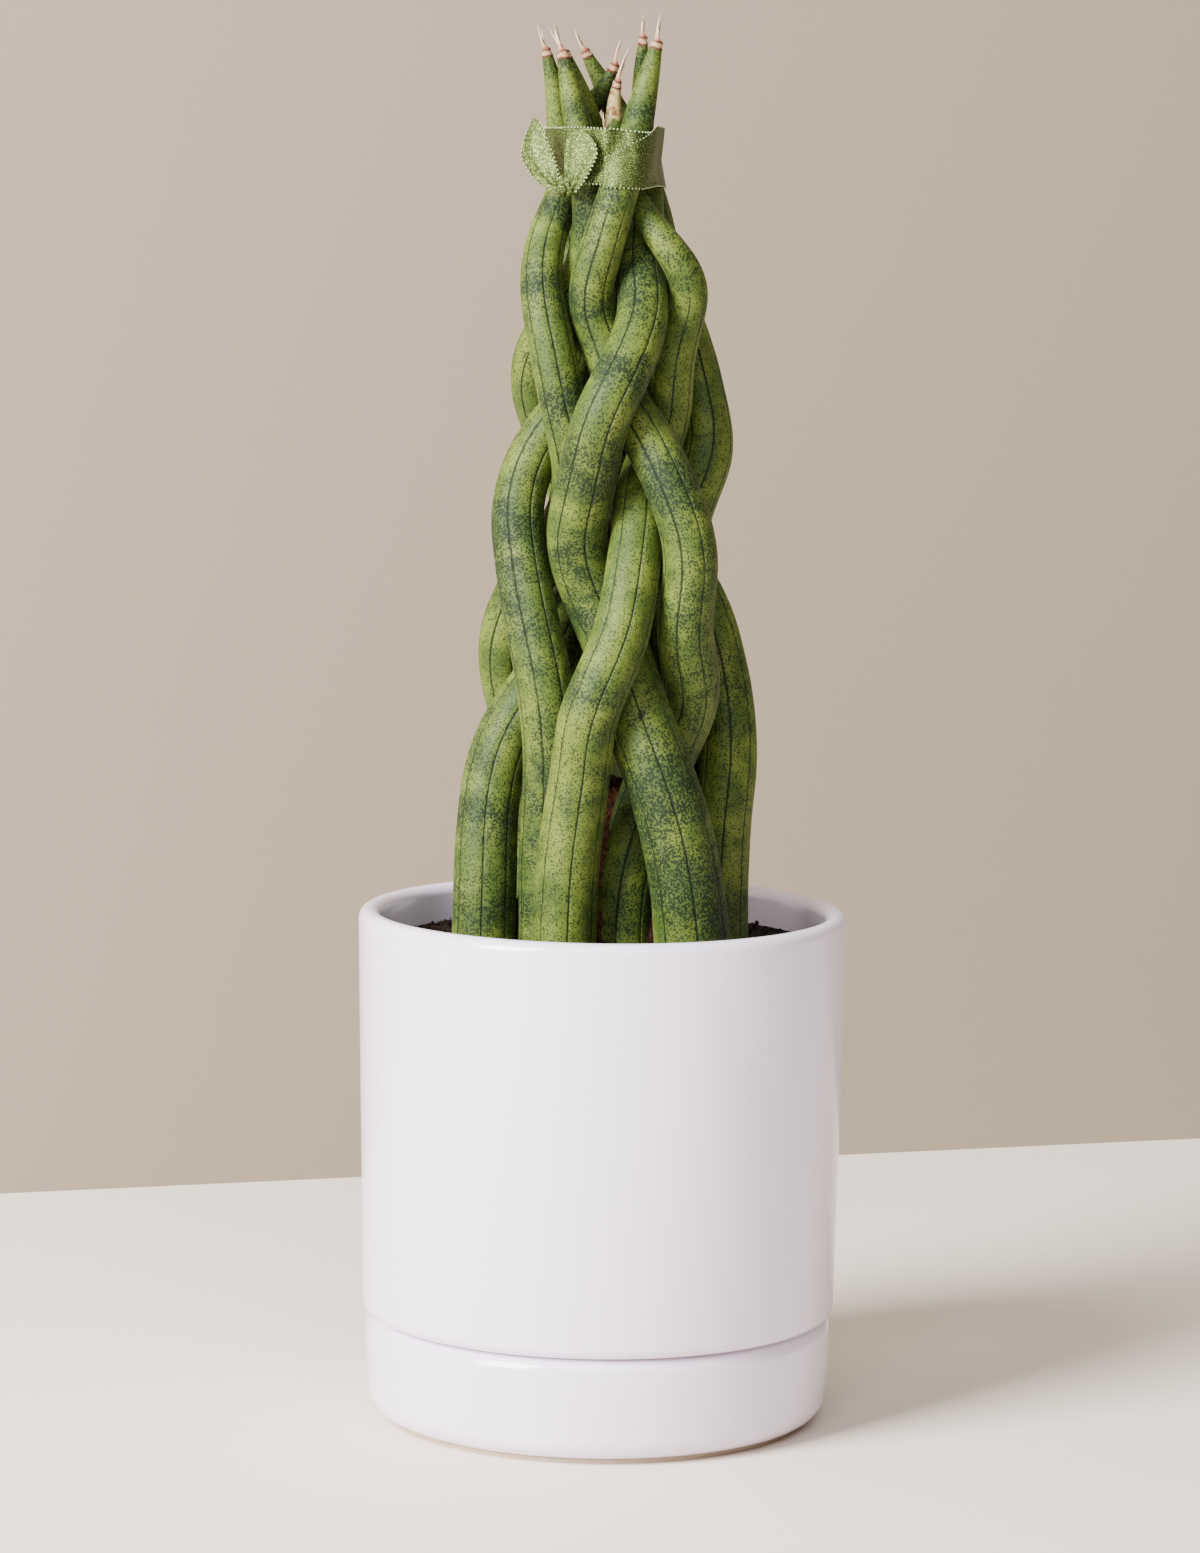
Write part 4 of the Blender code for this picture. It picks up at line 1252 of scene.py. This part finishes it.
def make_knot():
    """The knot: a gathered lump, pleated like a drawn purse, with creases that run up and down."""
    shape = bmesh.new()
    cloth = shape.verts.layers.float_vector.new("cloth")
    bmesh.ops.create_uvsphere(shape, u_segments=72, v_segments=48, radius=1.0)
    for corner in shape.verts:
        way = corner.co.normalized()
        around = atan2(way.x, -way.y)
        crease = abs(sin(around * KNOT_CREASES + 0.5 * sin(way.z * 3))) ** 0.6
        waist = 1 - KNOT_WAIST * exp(-(((way.z - 0.15) / 0.25) ** 2))
        ripple = 0.10 * noise.noise(way * 3.5)
        reach = (0.80 + 0.24 * crease + ripple) * waist
        corner[cloth] = Vector((around * 3, way.z * 8, 11))
        corner.co = (KNOT + way * KNOT_SIZE * reach) * MM
    return finish_piece("ribbon_knot_gathered", shape, satin, ["ribbon_knot"], ALL_SMOOTH)


knot = make_knot()

make_tail("ribbon_end_left", TAIL_LEFT, 1.5, 2, "ribbon_tail_left", 0)
make_tail("ribbon_end_right", TAIL_RIGHT, 1.0, 3, "ribbon_tail_right", 1)

# %% [markdown]
# ## The studio
#
# The plant stands on a pale matt floor in front of a warm grey wall. One large soft box at the front
# left, well above the plant, gives the highlights on the lip and the shoulder of the saucer, and a long
# soft shadow to the right. A weak box above the camera reaches into the pot, and an even sky keeps the
# shadows open, as white walls do in a studio. The wall is clear from its back, so the plant can be looked
# at from behind.

# %% Floor and wall
STAGE_REACH = 3  # metres from a square's middle to its sides
WALL_TURN = radians(17.1)
WALL_FOOT = Vector((-0.268, 0.387, 0))
FLOOR_PAINT = (0.80, 0.71, 0.61)
WALL_PAINT = (0.262, 0.206, 0.150)


def plain(name, color, one_sided=False):
    """Matt paint with a faint cloudiness, which can be clear from its back."""
    material, shader, start = new_material(name, 0.9)
    place = object_place(start)
    cloud = place.noise(3.0, 2.0)
    feed(shader, "Base Color", cloud.mix(color, [part * 0.985 for part in color]))
    if one_sided:
        tree = material.node_tree
        clear = start.node("BsdfTransparent", {}, {})
        seen_from_back = start.node("NewGeometry", {}, {}, 6)
        solid = Wire(tree, shader.outputs["BSDF"])
        both = start.node("MixShader", {}, {0: seen_from_back, 1: solid, 2: clear})
        tree.links.new(both.socket, tree.nodes["Material Output"].inputs["Surface"])
    return material


def flat_square(name, material, matrix):
    """A part of the stage: a square on the origin's plane, moved by a matrix."""
    shape = bmesh.new()
    bmesh.ops.create_grid(shape, x_segments=1, y_segments=1, size=STAGE_REACH)
    mesh = bpy.data.meshes.new(name)
    shape.to_mesh(mesh)
    shape.free()
    mesh.materials.append(material)
    square = bpy.data.objects.new(name, mesh)
    square.matrix_world = matrix
    bpy.context.scene.collection.objects.link(square)


turned_floor = Matrix.Translation(WALL_FOOT) @ Matrix.Rotation(WALL_TURN, 4, "Z")
before_wall = turned_floor @ Matrix.Translation((0, -STAGE_REACH, 0))
flat_square("floor", plain("pale floor", FLOOR_PAINT), before_wall)
upright = turned_floor @ Matrix.Rotation(pi / 2, 4, "X")
flat_square("wall", plain("warm grey wall", WALL_PAINT, one_sided=True), upright)

# %% Lights
AIM = Vector((0, 0, 0.2))


def soft_box(name, size, power, place):
    """A rectangular lamp that points at the plant: its size in metres and its power in watts."""
    light = bpy.data.lights.new(name, "AREA")
    light.shape = "RECTANGLE"
    light.size, light.size_y = size
    light.energy = power
    item = bpy.data.objects.new(name, light)
    item.location = place
    item.rotation_euler = (AIM - Vector(place)).to_track_quat("-Z", "Y").to_euler()
    bpy.context.scene.collection.objects.link(item)


soft_box("key", (1.3, 2.2), 505, (-2.1, -1.86, 1.72))
soft_box("front", (2.0, 1.2), 50, (0.2, -2.3, 2.2))
sky = bpy.data.worlds.new("even sky")
sky.use_nodes = True
glow = sky.node_tree.nodes["Background"].inputs
glow["Color"].default_value = (1.0, 0.985, 0.97, 1.0)
glow["Strength"].default_value = 0.19
bpy.context.scene.world = sky

# %% [markdown]
# ## The camera
#
# A long lens from nearly two metres away keeps the pot's sides almost upright. The camera looks down by
# seven degrees and is turned slightly, so the plant leans a little to the right in the frame.

# %% Camera
lens = bpy.data.cameras.new("camera")
lens.lens = 119.5
camera = bpy.data.objects.new("camera", lens)
bpy.context.scene.collection.objects.link(camera)
CAMERA_PLACE = Vector((-0.0019, -1.8777, 0.4644))
LOOK_DOWN = 0.1199  # angles in radians
TILT = 0.013845
camera.matrix_world = (
    Matrix.Translation(CAMERA_PLACE)
    @ Matrix.Rotation(pi / 2 - LOOK_DOWN, 4, "X")
    @ Matrix.Rotation(TILT, 4, "Z"))
bpy.context.scene.camera = camera
